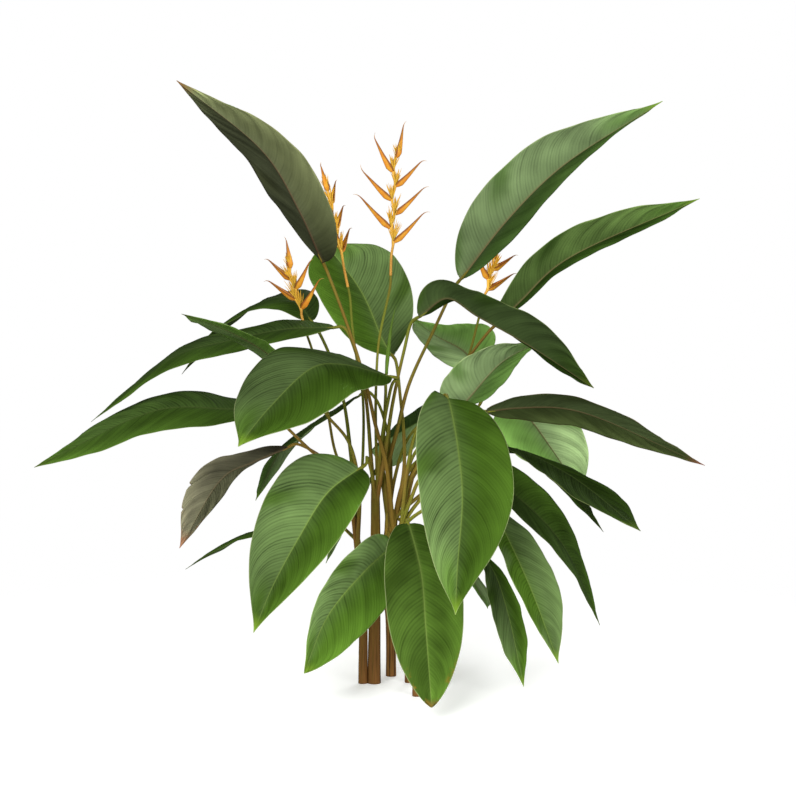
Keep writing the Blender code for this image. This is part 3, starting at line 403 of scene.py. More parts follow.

# Each flower head: foot and top of its stalk, azimuth of its bracts' plane in degrees, number of
# bracts, how far up the first one sits, length of the lowest one, how much longer those on the left
# are, and how much painted light brightens it where it lies in shade
FLOWER_HEADS = {
    "flower_head_tall": {
        "foot": (0.050, 0.0, 1.235), "top": (0.063, 0.0, 1.585), "azimuth": 4, "bracts": 7,
        "first": 0.10, "bract_length": 0.147, "left_reach": 1.1, "tone": 1.0},
    "flower_head_middle": {
        "foot": (-0.08, 0.08, 1.20), "top": (-0.14, 0.10, 1.49), "azimuth": 60, "bracts": 6,
        "first": 0.11, "bract_length": 0.12, "left_reach": 1.0, "tone": 1.35},
    "flower_head_left": {
        "foot": (-0.215, 0.112, 1.085), "top": (-0.26, 0.10, 1.255), "azimuth": -22, "bracts": 5,
        "first": 0.05, "bract_length": 0.13, "left_reach": 1.0, "tone": 1.0},
    "flower_head_right": {
        "foot": (0.335, 0.17, 1.155), "top": (0.37, 0.165, 1.285), "azimuth": 25, "bracts": 4,
        "first": 0.04, "bract_length": 0.115, "left_reach": 1.0, "tone": 1.7},
}

ROLLED_LEAF = [(0.037, 0.02, 0.94), (0.041, 0.02, 0.99), (0.050, 0.02, 1.07), (0.065, 0.02, 1.145)]

# Camera of the photograph
CAMERA_PLACE = (0.072, -5.4866, 1.2517)
CAMERA_TILT = 86.0
CAMERA_LENS = 82.76

# Square soft lights: place, size, and how much of their light may be mirrored
LIGHTS = {
    "key": ((-1.6, -4.9, 3.2), 3.2, 0.25),
    "fill": ((2.6, -4.6, 1.4), 2.8, 0.2),
    "rear": ((1.6, 4.6, 3.6), 2.8, 0.0),
}
LIT_POINT = (0.0, 0.0, 0.8)
SKY_MIRRORED = 0.25

# Floor: radius, corners, and the distances from its middle at which it is gone and whole
FLOOR_RADIUS = 14.0
FLOOR_SIDES = 96
FLOOR_FADE = (2.2, 0.5)


def colour_property(name, description, default):
    """A colour that the user can change."""
    return bpy.props.FloatVectorProperty(name=name, description=description, default=default,
                                         subtype="COLOR", size=3, min=0.0, max=1.0)


def length_property(name, description, default):
    """A length in metres that the user can change."""
    return bpy.props.FloatProperty(name=name, description=description, default=default,
                                   unit="LENGTH", subtype="DISTANCE", min=0.0)


def power_property(name, description, default):
    """The power of a light in watts that the user can change."""
    return bpy.props.FloatProperty(name=name, description=description, default=default,
                                   unit="POWER", min=0.0)


class HeliconiaLeafSettings(bpy.types.PropertyGroup):
    """Sizes and colours of the leaf blades"""
    vein_spacing: length_property("Vein spacing", "Distance between two strong side veins", 0.012)
    vein_relief: length_property("Vein relief", "Height of the strong side veins", 0.0008)
    thickness: length_property("Thickness", "Thickness of a blade beside its midrib", 0.0009)
    # The dull, greyish half of an upper side carries a painted sheen; the vivid half has none
    painted_sheen_half: colour_property("Dull half", "Greyish half of a leaf's upper side", (0.060, 0.096, 0.030))
    vivid: colour_property("Vivid half", "Green half of a leaf's upper side", (0.032, 0.067, 0.007))
    deep: colour_property("Deep green", "Upper side of the darker leaves", (0.027, 0.050, 0.010))
    # Deep green is a darker copy of the upper side: painted shade on leaves in the clump
    old: colour_property("Old green", "Upper side of an old leaf", (0.050, 0.095, 0.014))
    # The pale undersides are partly lightened with painted light shining through the leaf
    pale: colour_property("Pale underside", "Greyish half of most undersides", (0.128, 0.185, 0.078))
    pale_vivid: colour_property("Green underside", "Greener half of most undersides", (0.062, 0.120, 0.026))
    # The dark underside is a darker copy of the underside: painted shade
    shaded: colour_property("Dark underside", "Underside of the darker leaves", (0.036, 0.058, 0.018))
    olive: colour_property("Olive underside", "Underside of leaves that turn brown", (0.074, 0.084, 0.044))
    faded: colour_property("Faded underside", "Underside of a leaf that dries out", (0.13, 0.13, 0.075))
    midrib: colour_property("Midrib", "Midrib on the upper side", (0.100, 0.150, 0.032))
    brown_midrib: colour_property("Brown midrib", "Midrib on the underside", (0.10, 0.075, 0.034))
    margin: colour_property("Margin", "Thin dry margin of a blade", (0.38, 0.42, 0.20))
    tip: colour_property("Tip", "Drawn-out tip of a blade", (0.115, 0.20, 0.018))


class HeliconiaShootSettings(bpy.types.PropertyGroup):
    """Sizes and colours of the stems and stalks"""
    sheath_step: length_property("Sheath step", "How far the edge of a leaf sheath stands out", 0.0011)
    brown: colour_property("Stem brown", "Dry outer sheaths", (0.124, 0.079, 0.013))
    red: colour_property("Reddish brown", "Reddish streaks on the sheaths", (0.138, 0.058, 0.017))
    green: colour_property("Stalk green", "Fresh stalks", (0.100, 0.115, 0.013))
    seam: colour_property("Seam", "Dark line along the edge of a sheath", (0.022, 0.012, 0.006))


class HeliconiaFlowerSettings(bpy.types.PropertyGroup):
    """Sizes and colours of the flower heads"""
    flowers: bpy.props.IntProperty(name="Flowers", description="Flowers in each bract", default=28,
                                   min=1, max=30)
    flower_length: length_property("Flower length", "Length of the longest flower", 0.066)
    bract: colour_property("Bract", "Boat-shaped orange bracts", (0.44, 0.158, 0.012))
    bract_edge: colour_property("Bract edge", "Darker edge and keel of a bract", (0.15, 0.046, 0.006))
    bract_tip: colour_property("Bract tip", "Dry curled tip of a bract", (0.42, 0.22, 0.06))
    rachis: colour_property("Rachis", "Golden zigzag stalk", (0.50, 0.27, 0.034))
    stalk: colour_property("Orange stalk", "Stalk below the first bract", (0.24, 0.098, 0.013))
    flower: colour_property("Flower", "Golden yellow flowers", (0.50, 0.28, 0.024))
    flower_base: colour_property("Flower base", "Greenish foot of a flower", (0.30, 0.21, 0.02))


class HeliconiaStageSettings(bpy.types.PropertyGroup):
    """Floor, light and camera"""
    floor: colour_property("Floor", "Pale floor", (0.86, 0.86, 0.85))
    key: power_property("Key light", "Power of the large soft light at the upper left", 430.0)
    fill: power_property("Fill light", "Power of the soft light at the right", 220.0)
    rear: power_property("Rear light", "Power of the soft light behind the clump", 160.0)
    sky: bpy.props.FloatProperty(name="Sky", description="Strength of the even light all round",
                                 default=0.42, min=0.0)


# Meshes

def unit(vectors):
    """Vectors of length 1."""
    return vectors / np.linalg.norm(vectors, axis=-1, keepdims=True)


def dot(first, second):
    """Dot products along the last axis, kept as a column."""
    return np.sum(first * second, axis=-1, keepdims=True)


def between(first, last, share):
    """A value that goes from the first to the last as its share goes from 0 to 1."""
    return first + (last - first) * share


def smooth_path(points, count):
    """Evenly spaced points on a centripetal Catmull-Rom curve through the given ones."""
    knots = [np.array(point, float) for point in points]
    knots = [2 * knots[0] - knots[1], *knots, 2 * knots[-1] - knots[-2]]
    dense = []
    steps = np.arange(SPAN_STEPS)[:, None] / SPAN_STEPS
    for a, b, c, d in zip(knots, knots[1:], knots[2:], knots[3:]):
        t1 = math.sqrt(np.linalg.norm(b - a))
        t2 = t1 + math.sqrt(np.linalg.norm(c - b))
        t3 = t2 + math.sqrt(np.linalg.norm(d - c))
        t = t1 + (t2 - t1) * steps
        ab = a + (b - a) * t / t1
        bc = b + (c - b) * (t - t1) / (t2 - t1)
        cd = c + (d - c) * (t - t2) / (t3 - t2)
        abc = ab + (bc - ab) * t / t2
        bcd = bc + (cd - bc) * (t - t1) / (t3 - t1)
        dense.append(abc + (bcd - abc) * (t - t1) / (t2 - t1))
    dense = np.vstack([*dense, knots[-2][None, :]])
    travelled = np.concatenate([[0.0], np.cumsum(np.linalg.norm(np.diff(dense, axis=0), axis=1))])
    goals = np.linspace(0.0, travelled[-1], count)
    return np.stack([np.interp(goals, travelled, dense[:, axis]) for axis in range(3)], axis=1)


def path_length(path):
    """Length along a path."""
    return float(np.linalg.norm(np.diff(path, axis=0), axis=1).sum())


def tangents(path):
    """Unit direction of travel at each point of a path."""
    return unit(np.gradient(path, axis=0))


def at_shares(rows, shares):
    """Evenly spaced rows read at shares of their length, by straight interpolation."""
    place = np.clip(shares, 0.0, 1.0) * (len(rows) - 1)
    low = np.minimum(place.astype(int), len(rows) - 2)
    part = (place - low)[..., None]
    return rows[low] * (1 - part) + rows[low + 1] * part


class Shell:
    """Points, faces, face-corner maps and point values of a mesh in the making."""

    def __init__(self):
        self.points = []
        self.count = 0
        self.faces = []
        self.finishes = []
        self.maps = {}
        self.values = {}

    def add_points(self, points, values):
        """Adds points with their values, and gives the number of the first one."""
        start = self.count
        flat = points.reshape(-1, 3)
        self.points.append(flat)
        for name, numbers in values.items():
            full = np.broadcast_to(numbers, points.shape[:-1])
            self.values.setdefault(name, []).append(full.reshape(-1).astype(np.float32))
        self.count += len(flat)
        return start

    def add_faces(self, corners, maps, finish):
        """Adds faces of equal size, with the map coordinates of their corners."""
        self.faces.extend(corners.tolist())
        self.finishes.extend([finish] * len(corners))
        for name, coordinates in maps.items():
            self.maps.setdefault(name, []).append(coordinates.reshape(-1, 2).astype(np.float32))

    def add_grid(self, points, maps, values, wrapped=False, flip=False, finish=0):
        """Adds a grid of quads; a wrapped one closes round, and its maps have one more column."""
        rows, columns = points.shape[:2]
        start = self.add_points(points, values)
        gaps = columns if wrapped else columns - 1
        row, column = np.meshgrid(np.arange(rows - 1), np.arange(gaps), indexing="ij")
        down = np.stack([row, row + 1, row + 1, row], axis=-1).reshape(-1, 4)
        across = np.stack([column, column, column + 1, column + 1], axis=-1).reshape(-1, 4)
        if flip:
            down = down[:, ::-1]
            across = across[:, ::-1]
        corners = start + down * columns + across % columns
        self.add_faces(corners, {name: grid[down, across] for name, grid in maps.items()}, finish)
        return start

    def build(self, name, materials):
        """The finished object."""
        mesh = bpy.data.meshes.new(name)
        mesh.from_pydata(np.vstack(self.points).tolist(), [], self.faces)
        for map_name, blocks in self.maps.items():
            layer = mesh.uv_layers.new(name=map_name)
            layer.data.foreach_set("uv", np.vstack(blocks).ravel())
        for value_name, blocks in self.values.items():
            attribute = mesh.attributes.new(value_name, "FLOAT", "POINT")
            attribute.data.foreach_set("value", np.concatenate(blocks))
        for material in materials:
            mesh.materials.append(material)
        mesh.polygons.foreach_set("material_index", np.array(self.finishes, np.int32))
        mesh.polygons.foreach_set("use_smooth", np.ones(len(self.faces), bool))
        mesh.validate()
        mesh.update()
        made = bpy.data.objects.new(name, mesh)
        bpy.context.scene.collection.objects.link(made)
        return made


def carried_frames(path, reference, from_end=False):
    """Two directions across a path at each of its points, turned as little as possible along it."""
    directions = tangents(path)
    order = range(len(path) - 1, -1, -1) if from_end else range(len(path))
    across = np.array(reference, float)
    first = np.zeros_like(path)
    for index in order:
        across = across - across.dot(directions[index]) * directions[index]
        across = across / np.linalg.norm(across)
        first[index] = across
    return directions, first, np.cross(directions, first)


def angles_round(sides):
    """Evenly spaced angles round a tube."""
    return np.linspace(0.0, 2 * math.pi, sides, endpoint=False)


def add_tube(shell, path, radii, sides, reference, values, finish=0, from_end=False, profile=None):
    """Adds a closed tube along a path; the profile gives the radius factor for each row and angle."""
    _, first, second = carried_frames(path, reference, from_end)
    angles = angles_round(sides)
    reach = np.array(radii, float)[:, None] * np.ones(sides)
    if profile is not None:
        reach = reach * profile(angles)
    spokes = np.cos(angles)[:, None] * first[:, None, :] + np.sin(angles)[:, None] * second[:, None, :]
    points = path[:, None, :] + reach[..., None] * spokes
    travelled = np.concatenate([[0.0], np.cumsum(np.linalg.norm(np.diff(path, axis=0), axis=1))])
    around = np.linspace(0.0, 1.0, sides + 1)
    grid = np.stack(np.broadcast_arrays(travelled[:, None], around), axis=-1)
    start = shell.add_grid(points, {"fibres": grid}, values, wrapped=True, flip=True, finish=finish)
    low = np.arange(sides)[None, :]
    for corners in (start + low[:, ::-1], start + (len(path) - 1) * sides + low):
        shell.add_faces(corners, {"fibres": np.zeros((1, sides, 2))}, finish)


# Leaf blades

def blade_half_width(share, width, peak, drawn):
    """Half the width of a blade at shares of its length: round at the base, drawn out at the tip."""
    rising = (1 - np.clip(1 - share / peak, 0, 1) ** BASE_ROUND) ** BASE_FULL
    falling = (1 - np.clip((share - peak) / (1 - peak), 0, 1) ** TIP_ROUND) ** drawn
    fullness = np.where(share < peak, rising, falling)
    return width / 2 * fullness + BLADE_NECK * (1 - share) + BLADE_POINT * share


def blade_axis(points, roll, twist):
    """Midrib points, directions, sideways directions and face directions along a blade."""
    path = smooth_path(points, CURVE_SAMPLES)
    directions = tangents(path)
    heading = path[-1] - path[0]
    level = unit(np.array([-heading[1], heading[0], 0.0]))
    flat = unit(level - dot(directions, level) * directions)
    shares = np.linspace(0.0, 1.0, CURVE_SAMPLES)[:, None]
    turn = np.radians(roll + twist * shares)
    sides = np.cos(turn) * flat + np.sin(turn) * np.cross(directions, flat)
    return path, directions, sides, np.cross(directions, sides)


def vein_rows(length, spacing, chance):
    """Places along the midrib where rows start, and the vein number of each."""
    count = max(LEAST_VEINS, round(length / spacing))
    gaps = np.array([chance.uniform(*VEIN_GAPS) for _ in range(count)])
    edges = np.concatenate([[0.0], np.cumsum(gaps)]) / gaps.sum()
    numbers = np.arange(count * ROWS_PER_VEIN + 1) / ROWS_PER_VEIN
    return np.interp(numbers, np.arange(count + 1), edges), numbers


def blade_columns(half, rib):
    """Places from -1 to 1 across a blade for each row, closer together at the midrib."""
    near = np.minimum(rib * np.array(RIB_COLUMNS), half * np.array(RIB_COLUMN_LIMITS))
    steps = np.linspace(0.0, 1.0, MARGIN_COLUMNS + 1)[1:]
    steps = 1 - (1 - steps) ** COLUMN_CROWDING
    far = near[:, -1:] + (half - near[:, -1:]) * steps
    one_side = np.concatenate([near, far], axis=1) / half
    return np.concatenate([-one_side[:, :0:-1], one_side], axis=1)


def vein_shares(starts, half, out, length):
    """Share of the midrib beside which each point lies: the veins sweep and bend towards the tip."""
    sweep = VEIN_SWEEP * (1 + VEIN_TIP_SWEEP * starts[:, None] ** 2) * half / length
    bend = VEIN_SLANT * out + (1 - VEIN_SLANT) * out ** VEIN_BEND
    share = np.clip(starts[:, None] + sweep * bend, 0.0, 1.0)
    share = np.maximum.accumulate(share, axis=0)
    share[-1] = 1.0
    return share


def torn_reach(name, starts, veins, columns):
    """How far out each point lies, from -1 to 1, which is less in a torn notch."""
    reach = columns
    for side, place, depth, veins_wide in TEARS.get(name, []):
        middle = np.interp(place, starts, veins)
        gap = np.clip(1 - np.abs(veins - middle) / veins_wide, 0.0, 1.0)
        reach = np.where(columns * side > 0, reach * (1 - depth * gap[:, None] * columns ** 2), reach)
    return reach


def margin_waves(number, share, columns, chance):
    """Height of the waves at the margin, which fade towards the midrib."""
    phase = WAVE_SHIFT * number % 1.0
    height = EDGE_WAVE * np.sin(2 * math.pi * (EDGE_WAVES * share + phase + 0.25 * columns))
    for waves, size in SMALL_WAVES:
        turn = chance.uniform(0.0, 1.0)
        height += size * np.sin(2 * math.pi * (waves * share + turn + 0.5 * columns))
    return height * columns ** 2


def vein_crest(starts, veins, relief, chance):
    """Height of veins and pleats at each row, as a multiple of the veins' relief."""
    strength = np.array([chance.choice(VEIN_STRENGTHS) for _ in range(int(veins[-1]) + 2)])
    crest = (0.5 + 0.5 * np.cos(2 * math.pi * veins)) * np.interp(veins, np.arange(len(strength)), strength)
    pleats = sum(np.sin(2 * math.pi * (starts * waves + chance.uniform(0, 1))) for waves in PLEATS)
    return (crest + pleats * PLEAT_HEIGHT / relief)[:, None]


def blade_depths(starts, away, out, rib, thickness):
    """How far the grooved upper side and the ribbed underside lie from the middle of a blade."""
    thick = thickness * (1 - RIM_THINNING * out)
    groove = GROOVE_DEPTH * thick * np.exp(-(away / (GROOVE_WIDTH * rib)) ** 2)
    depth = between(RIB_DEPTH, RIB_TIP_DEPTH, starts[:, None] ** 0.55)
    round_rib = np.sqrt(1 - np.clip(away / rib, 0, 1) ** 2)
    return thick / 2 - groove, thick / 2 + depth * round_rib


def add_blade(shell, name, number, settings):
    """Adds one blade: a thin veined sheet with a groove above its midrib and a round rib below."""
    points, width, peak, roll, twist, fold = LEAVES[name]
    drawn = BLUNT_TIPS.get(name, TIP_DRAWN)
    chance = random.Random(100 + number)
    path, _, sides, faces = blade_axis(points, roll, twist)
    length = path_length(path)
    starts, veins = vein_rows(length, settings.vein_spacing, chance)
    half_at_start = blade_half_width(starts, width, peak, drawn)[:, None]
    rib = between(RIB_WIDE, RIB_NARROW, starts[:, None] ** 0.6)
    columns = blade_columns(half_at_start, rib)
    out = np.abs(columns)
    away = out * half_at_start
    share = vein_shares(starts, half_at_start, out, length)
    half = blade_half_width(share, width, peak, drawn)
    tilt = math.radians(fold)
    fading = np.clip(half / NARROW, 0, 1)
    lift = half * (math.sin(tilt) * out - EDGE_DROOP * out * out)
    lift = lift + margin_waves(number, share, columns, chance) * fading
    window = np.clip((away - VEIN_START * rib) / VEIN_RISE, 0, 1) * np.clip((1 - out) / VEIN_END, 0, 1)
    crest = vein_crest(starts, veins, settings.vein_relief, chance)
    lift = lift + settings.vein_relief * crest * window * fading
    reach = half * math.cos(tilt) * torn_reach(name, starts, veins, columns)
    centre, side_way, face_way = (at_shares(rows, share) for rows in (path, sides, faces))
    middle = centre + side_way * reach[..., None] + face_way * lift[..., None]
    steep = math.sin(tilt) * np.sign(columns) * np.clip(out * 8, 0, 1)
    normal = unit(face_way * math.cos(tilt) - side_way * steep[..., None])
    above, below = blade_depths(starts, away, out, rib, settings.thickness)
    maps = {"veins": np.stack(np.broadcast_arrays(veins[:, None], columns * half_at_start), axis=-1),
            "place": np.stack([share, (1 - out) * half], axis=-1)}
    # Painted light and shade on each half of the blade, from its base to its tip
    painted_light_levels = LEAF_FINISHES[name][2:]
    values = {"tone": np.where(columns < 0, between(*painted_light_levels[:2], share), between(*painted_light_levels[2:], share))}
    top = shell.add_grid(middle + normal * above[..., None], maps, values, finish=0)
    bottom = shell.add_grid(middle - normal * below[..., None], maps, values, flip=True, finish=1)
    add_rim(shell, top, bottom, maps)


def add_rim(shell, top, bottom, maps):
    """Closes a blade all round between its upper side and its underside."""
    rows, columns = maps["place"].shape[:2]
    down = np.arange(rows) * columns
    along = np.arange(columns)
    borders = [(down[:-1], down[1:]),
               (down[1:] + columns - 1, down[:-1] + columns - 1),
               (along[1:], along[:-1]),
               (down[-1] + along[:-1], down[-1] + along[1:])]
    for start, end in borders:
        picked = np.stack([start, start, end, end], axis=1)
        corners = picked + np.array([top, bottom, bottom, top])
        shell.add_faces(corners, {name: grid.reshape(-1, 2)[picked] for name, grid in maps.items()}, 1)


# Shoots

def stem_path(shoot):
    """Route of a shoot's stem, upright where it is cut."""
    path = smooth_path(shoot["stem"], 9)
    foot = np.array(shoot["stem"][0])
    path[0] = foot
    path[1, :2] = between(foot[:2], path[1, :2], 0.2)
    return path


def sheath_profile(step, chance):
    """Functions that give the height and the seam mark of the wrapped sheaths at each angle."""
    edges = [(chance.uniform(0, 2 * math.pi), chance.uniform(-SHEATH_DRIFT, SHEATH_DRIFT))
             for _ in range(SHEATHS)]
    travel = np.linspace(0.0, 1.0, STEM_ROWS)[:, None]

    def turns(angles):
        for start, drift in edges:
            edge = start + drift * travel + 0.12 * np.sin(5 * travel + start)
            yield ((angles - edge) % (2 * math.pi)) / (2 * math.pi)

    def profile(angles):
        return 1 + step * sum((0.5 - share) * np.where(share < 0.5, 1, 0.6) for share in turns(angles))

    def seams(angles):
        marks = [np.maximum(1 - (1 - share) * 22, (1 - share * 40) * 0.6) for share in turns(angles)]
        return np.maximum(np.max(marks, axis=0), 0.0)

    return profile, seams


def add_stem(shell, shoot, chance, settings):
    """Adds the wrapped sheaths of a shoot as one stem with stepped edges and a cut foot."""
    path = smooth_path(stem_path(shoot), STEM_ROWS)
    path[0, 2] = 0.0
    share = np.linspace(0.0, 1.0, STEM_ROWS)
    closing = np.maximum(share - STEM_SHOULDER, 0.0) / STEM_ROUNDING
    radii = between(*shoot["radii"], share) * np.sqrt(np.clip(1 - closing ** 2, 0.02, 1))
    profile, seams = sheath_profile(settings.sheath_step / shoot["radii"][0], chance)
    values = {"seam": seams(angles_round(STEM_SIDES)),
              "green": between(*STEM_GREEN, share)[:, None],
              "red": between(*STEM_RED, share)[:, None],
              # Painted light that lifts the stem out of the shade under the leaves, stronger for one shoot
              "tone": shade_lift(path) * shoot.get("tone", 1.0)}
    add_tube(shell, path, radii, STEM_SIDES, (1.0, 0.0, 0.0), values, profile=profile)


def shade_lift(path):
    """Painted light on sheaths and stalks along a path, which lifts them out of the shade where leaves hide
    them.
    """
    return 1 + np.interp(path[:, 2], HIDDEN_HEIGHTS, HIDDEN_LIGHT)[:, None]


def stalk_route(shoot, number, total, via, seat, direction):
    """Route of a stalk: up along the stem, out of it, and in line with what it carries."""
    stem = stem_path(shoot)
    root = between(stem[-2], stem[-1], 0.1 + 0.7 * number / total)
    outward = np.array(via[0], float) - root
    outward[2] = 0.0
    outward = outward / max(np.linalg.norm(outward), 1e-6) * shoot["radii"][1]
    below = stem[-4] + outward * 0.25
    beside = between(stem[-3], stem[-2], 0.5) + outward * 0.5
    points = [below, beside, root + outward * 0.5, *via, seat - direction * STALK_LEAD, seat]
    rough = smooth_path(points, 60)
    return smooth_path(points, max(16, round(path_length(rough) / STALK_STEP)))


def channel(angles):
    """Radius factor of a stalk with a shallow channel along its upper side."""
    turn = (angles + math.pi) % (2 * math.pi) - math.pi
    return 1 - STALK_CHANNEL * np.exp(-(turn / 0.55) ** 2)


def start_of(points):
    """The first of some points, and the direction from it to the second."""
    first, second = np.array(points[:2])
    return first, unit(second - first)


def add_stalk(shell, shoot, name, number, total, via, chance):
    """Adds the stalk that carries a blade, a flower head, the rolled leaf or nothing."""
    root_radius = min(STALK_ROOT, shoot["radii"][1] * 0.8)
    reference = TO_VIEWER
    ends = (root_radius * 0.8, STALK_END)
    if name in LEAVES:
        points, _, _, roll, twist, _ = LEAVES[name]
        blade, directions, _, faces = blade_axis(points, roll, twist)
        seat, direction, reference = blade[0], directions[0], faces[0]
        ends = (root_radius, STALK_END)
    elif name in FLOWER_HEADS:
        seat, direction = start_of([FLOWER_HEADS[name]["foot"], FLOWER_HEADS[name]["top"]])
        ends = (HEAD_STALK * 1.4, HEAD_STALK)
    elif name == "rolled_leaf":
        seat, direction = start_of(ROLLED_LEAF)
    else:
        *via, seat = via
        direction = start_of([via[-1], seat])[1]
    route = stalk_route(shoot, number, total, via, np.array(seat), direction)
    share = np.linspace(0.0, 1.0, len(route))
    radii = between(*ends, np.clip((share - 0.15) / 0.6, 0, 1)) * np.clip(0.35 + share * 6, 0, 1)
    if name in LEAVES:
        to_seat = (1 - share) * path_length(route)
        radii = radii * (1 + STALK_KNOT * np.exp(-(to_seat / 0.02) ** 2))
        radii[-1] = STALK_END
        spots = np.array(TAIL_SHARES)
        tail = at_shares(blade, spots) - at_shares(faces, spots) * np.array(TAIL_SUNK)[:, None]
        route = np.vstack([route, tail])
        radii = np.concatenate([radii, TAIL_RADII])
        share = np.concatenate([share, np.ones(len(tail))])
    green = between(*STALK_GREEN.get(name, USUAL_GREEN), share)
    red = chance.uniform(0.1, 0.6) * (1 - 0.6 * share)
    # Painted light that lifts the stalk out of the shade under the leaves
    values = {"seam": 0.0, "green": green[:, None], "red": red[:, None], "tone": shade_lift(route)}
    add_tube(shell, route, radii, STALK_SIDES, reference, values, from_end=True, profile=channel)


def load_of(shoot):
    """Names and routes of everything that a shoot carries."""
    found = [*shoot["leaves"].items(), *shoot["heads"].items()]
    return found + [(name, shoot[name]) for name in ("rolled_leaf", "sprout") if name in shoot]


# Flower heads

def bract_line(root, outward, upward, length, rise, curl):
    """Points and keel directions along a bract, which rises and then curls at its tip."""
    share = np.linspace(0.0, 1.0, BRACT_ROWS)
    drop = BRACT_SAG * np.maximum(0.0, share - 0.55)
    drop = drop + curl * BRACT_CURL * np.maximum(0.0, share - 0.78) ** 2
    angle = np.radians(rise + BRACT_BEND * (share - 0.5) - drop)[:, None]
    direction = np.cos(angle) * outward + np.sin(angle) * upward
    steps = np.concatenate([[0.0], np.diff(share)])[:, None] * direction * length
    keel = np.cross(unit(np.cross(outward, upward)), direction)
    keel = np.where(dot(keel, upward) > 0, -keel, keel)
    return root + np.cumsum(steps, axis=0), keel


def add_bract(shell, root, outward, upward, length, rise, curl, tone):
    """Adds one bract: a thin keeled boat with a slender curled tip."""
    line, keel = (rows[:, None, :] for rows in bract_line(root, outward, upward, length, rise, curl))
    across = unit(np.cross(outward, upward))
    share = np.linspace(0.0, 1.0, BRACT_ROWS)[:, None]
    fullness = np.clip(share / 0.16, 0, 1) ** 0.55 * np.clip((1 - share) / 0.84, 0, 1) ** 1.25
    slim = between(BRACT_FOOT, BRACT_TIP, share)
    half = BRACT_HALF * fullness + slim
    depth = BRACT_DEPTH * fullness + slim
    wall = np.minimum(BRACT_WALL, half * 0.5)
    turn = np.linspace(-1.0, 1.0, BRACT_COLUMNS)
    outness = np.abs(turn)
    wide = np.sign(turn) * outness ** 0.85
    deep = depth * (1 - 1.5 * outness ** 1.6)
    outer = line + across * (half * wide)[..., None] + keel * deep[..., None]
    deep = deep - wall * 1.5 * (1 - outness ** 6)
    inner = line + across * ((half - wall) * wide)[..., None] + keel * deep[..., None]
    loop = np.concatenate([outer, inner[:, ::-1]], axis=1)
    columns = loop.shape[1]
    grid = np.stack(np.broadcast_arrays(share * length, np.linspace(0, 1, columns + 1)), axis=-1)
    values = {"share": share, "rim": np.concatenate([outness, outness[::-1]]),
              "keel": np.concatenate([1 - outness, np.zeros(BRACT_COLUMNS)]), "tone": tone}
    start = shell.add_grid(loop, {"fibres": grid}, values, wrapped=True)
    ends = start + np.arange(columns)[None, :]
    for corners in (ends, ends[:, ::-1] + (BRACT_ROWS - 1) * columns):
        shell.add_faces(corners, {"fibres": np.zeros((1, columns, 2))}, 0)


def add_flower(shell, root, direction, bend, length, thickness, tone):
    """Adds one slim flower that swells above its foot and ends in a point."""
    share = np.linspace(0.0, 1.0, len(FLOWER_SHAPE))[:, None]
    path = root + direction * length * share + bend * length * share ** 2
    reference = np.cross(direction, bend) + 1e-4
    values = {"share": share, "rim": 0.0, "keel": 0.0, "tone": tone}
    add_tube(shell, path, thickness * np.array(FLOWER_SHAPE), FLOWER_SIDES, reference, values, finish=2)


def add_tuft(shell, node, outward, upward, up_share, settings, chance, tone):
    """Adds the flowers of one bract, which fan out from its foot."""
    across = np.cross(outward, upward)
    for spike in range(settings.flowers):
        place = (spike + chance.uniform(-0.3, 0.3)) / settings.flowers
        lean = math.radians(FLOWER_LEAN - FLOWER_LEAN_RANGE * place)
        aside = chance.uniform(-FLOWER_SPREAD, FLOWER_SPREAD)
        direction = unit(outward * math.cos(lean) + upward * math.sin(lean) + across * aside)
        bend = outward * chance.uniform(-0.12, 0.16) + across * chance.uniform(-0.1, 0.1)
        length = settings.flower_length * chance.uniform(*FLOWER_LENGTHS) * (1 - 0.3 * up_share)
        seat = node + upward * chance.uniform(*FLOWER_SEATS) + across * aside * 0.008
        add_flower(shell, seat, direction, bend, length, chance.uniform(*FLOWER_THICKNESS), tone)


def add_rachis(shell, foot, nodes, upward, first, plane, tone):
    """Adds the zigzag stalk, which is thicker at each bract."""
    route = smooth_path([foot, foot + upward * first * 0.6, *nodes, nodes[-1] + upward * 0.012], RACHIS_ROWS)
    share = np.linspace(0.0, 1.0, RACHIS_ROWS)
    radii = between(*RACHIS_RADII, share)
    for node in nodes:
        distance = np.linalg.norm(route - node, axis=1)
        radii = radii * (1 + RACHIS_KNOT * np.exp(-(distance / RACHIS_KNOT_REACH) ** 2))
    radii[-len(RACHIS_END):] *= RACHIS_END
    values = {"share": share[:, None], "rim": 0.0, "keel": 0.0, "tone": tone}
    add_tube(shell, route, radii, RACHIS_SIDES, plane, values, finish=1)


def flower_head(name, head, materials, settings, chance):
    """A zigzag rachis with its bracts in two rows and a tuft of flowers in each."""
    shell = Shell()
    foot = np.array(head["foot"])
    height = np.linalg.norm(np.array(head["top"]) - foot)
    upward = start_of([head["foot"], head["top"]])[1]
    azimuth = math.radians(head["azimuth"])
    plane = np.array([math.cos(azimuth), math.sin(azimuth), 0.0])
    plane = unit(plane - plane.dot(upward) * upward)
    first = head["first"]
    steps = head["bracts"] - 1
    # Painted light that brightens a head lying in shade
    tone = head["tone"]
    sides = [plane * (-1) ** number for number in range(steps + 1)]
    nodes = [foot + upward * (first + (height - first) / steps * number) + outward * ZIGZAG
             for number, outward in enumerate(sides)]
    add_rachis(shell, foot, nodes, upward, first, plane, tone)
    for number, (node, outward) in enumerate(zip(nodes, sides)):
        up_share = number / steps
        rise = BRACT_RISE + BRACT_TOP_RISE * up_share ** 6
        rise = rise + chance.uniform(-BRACT_RISE_SPREAD, BRACT_RISE_SPREAD)
        length = head["bract_length"] * (1 - BRACT_SHORTER * up_share)
        if number % 2:
            length *= head["left_reach"]
        curl = chance.choice((-1, 1, 1)) * chance.uniform(*CURLS)
        root = node - (upward + outward) * BRACT_SUNK
        add_bract(shell, root, outward, upward, length, rise, curl, tone)
        add_tuft(shell, node, outward, upward, up_share, settings, chance, tone)
    return shell.build(name, materials)


# Rolled young leaf

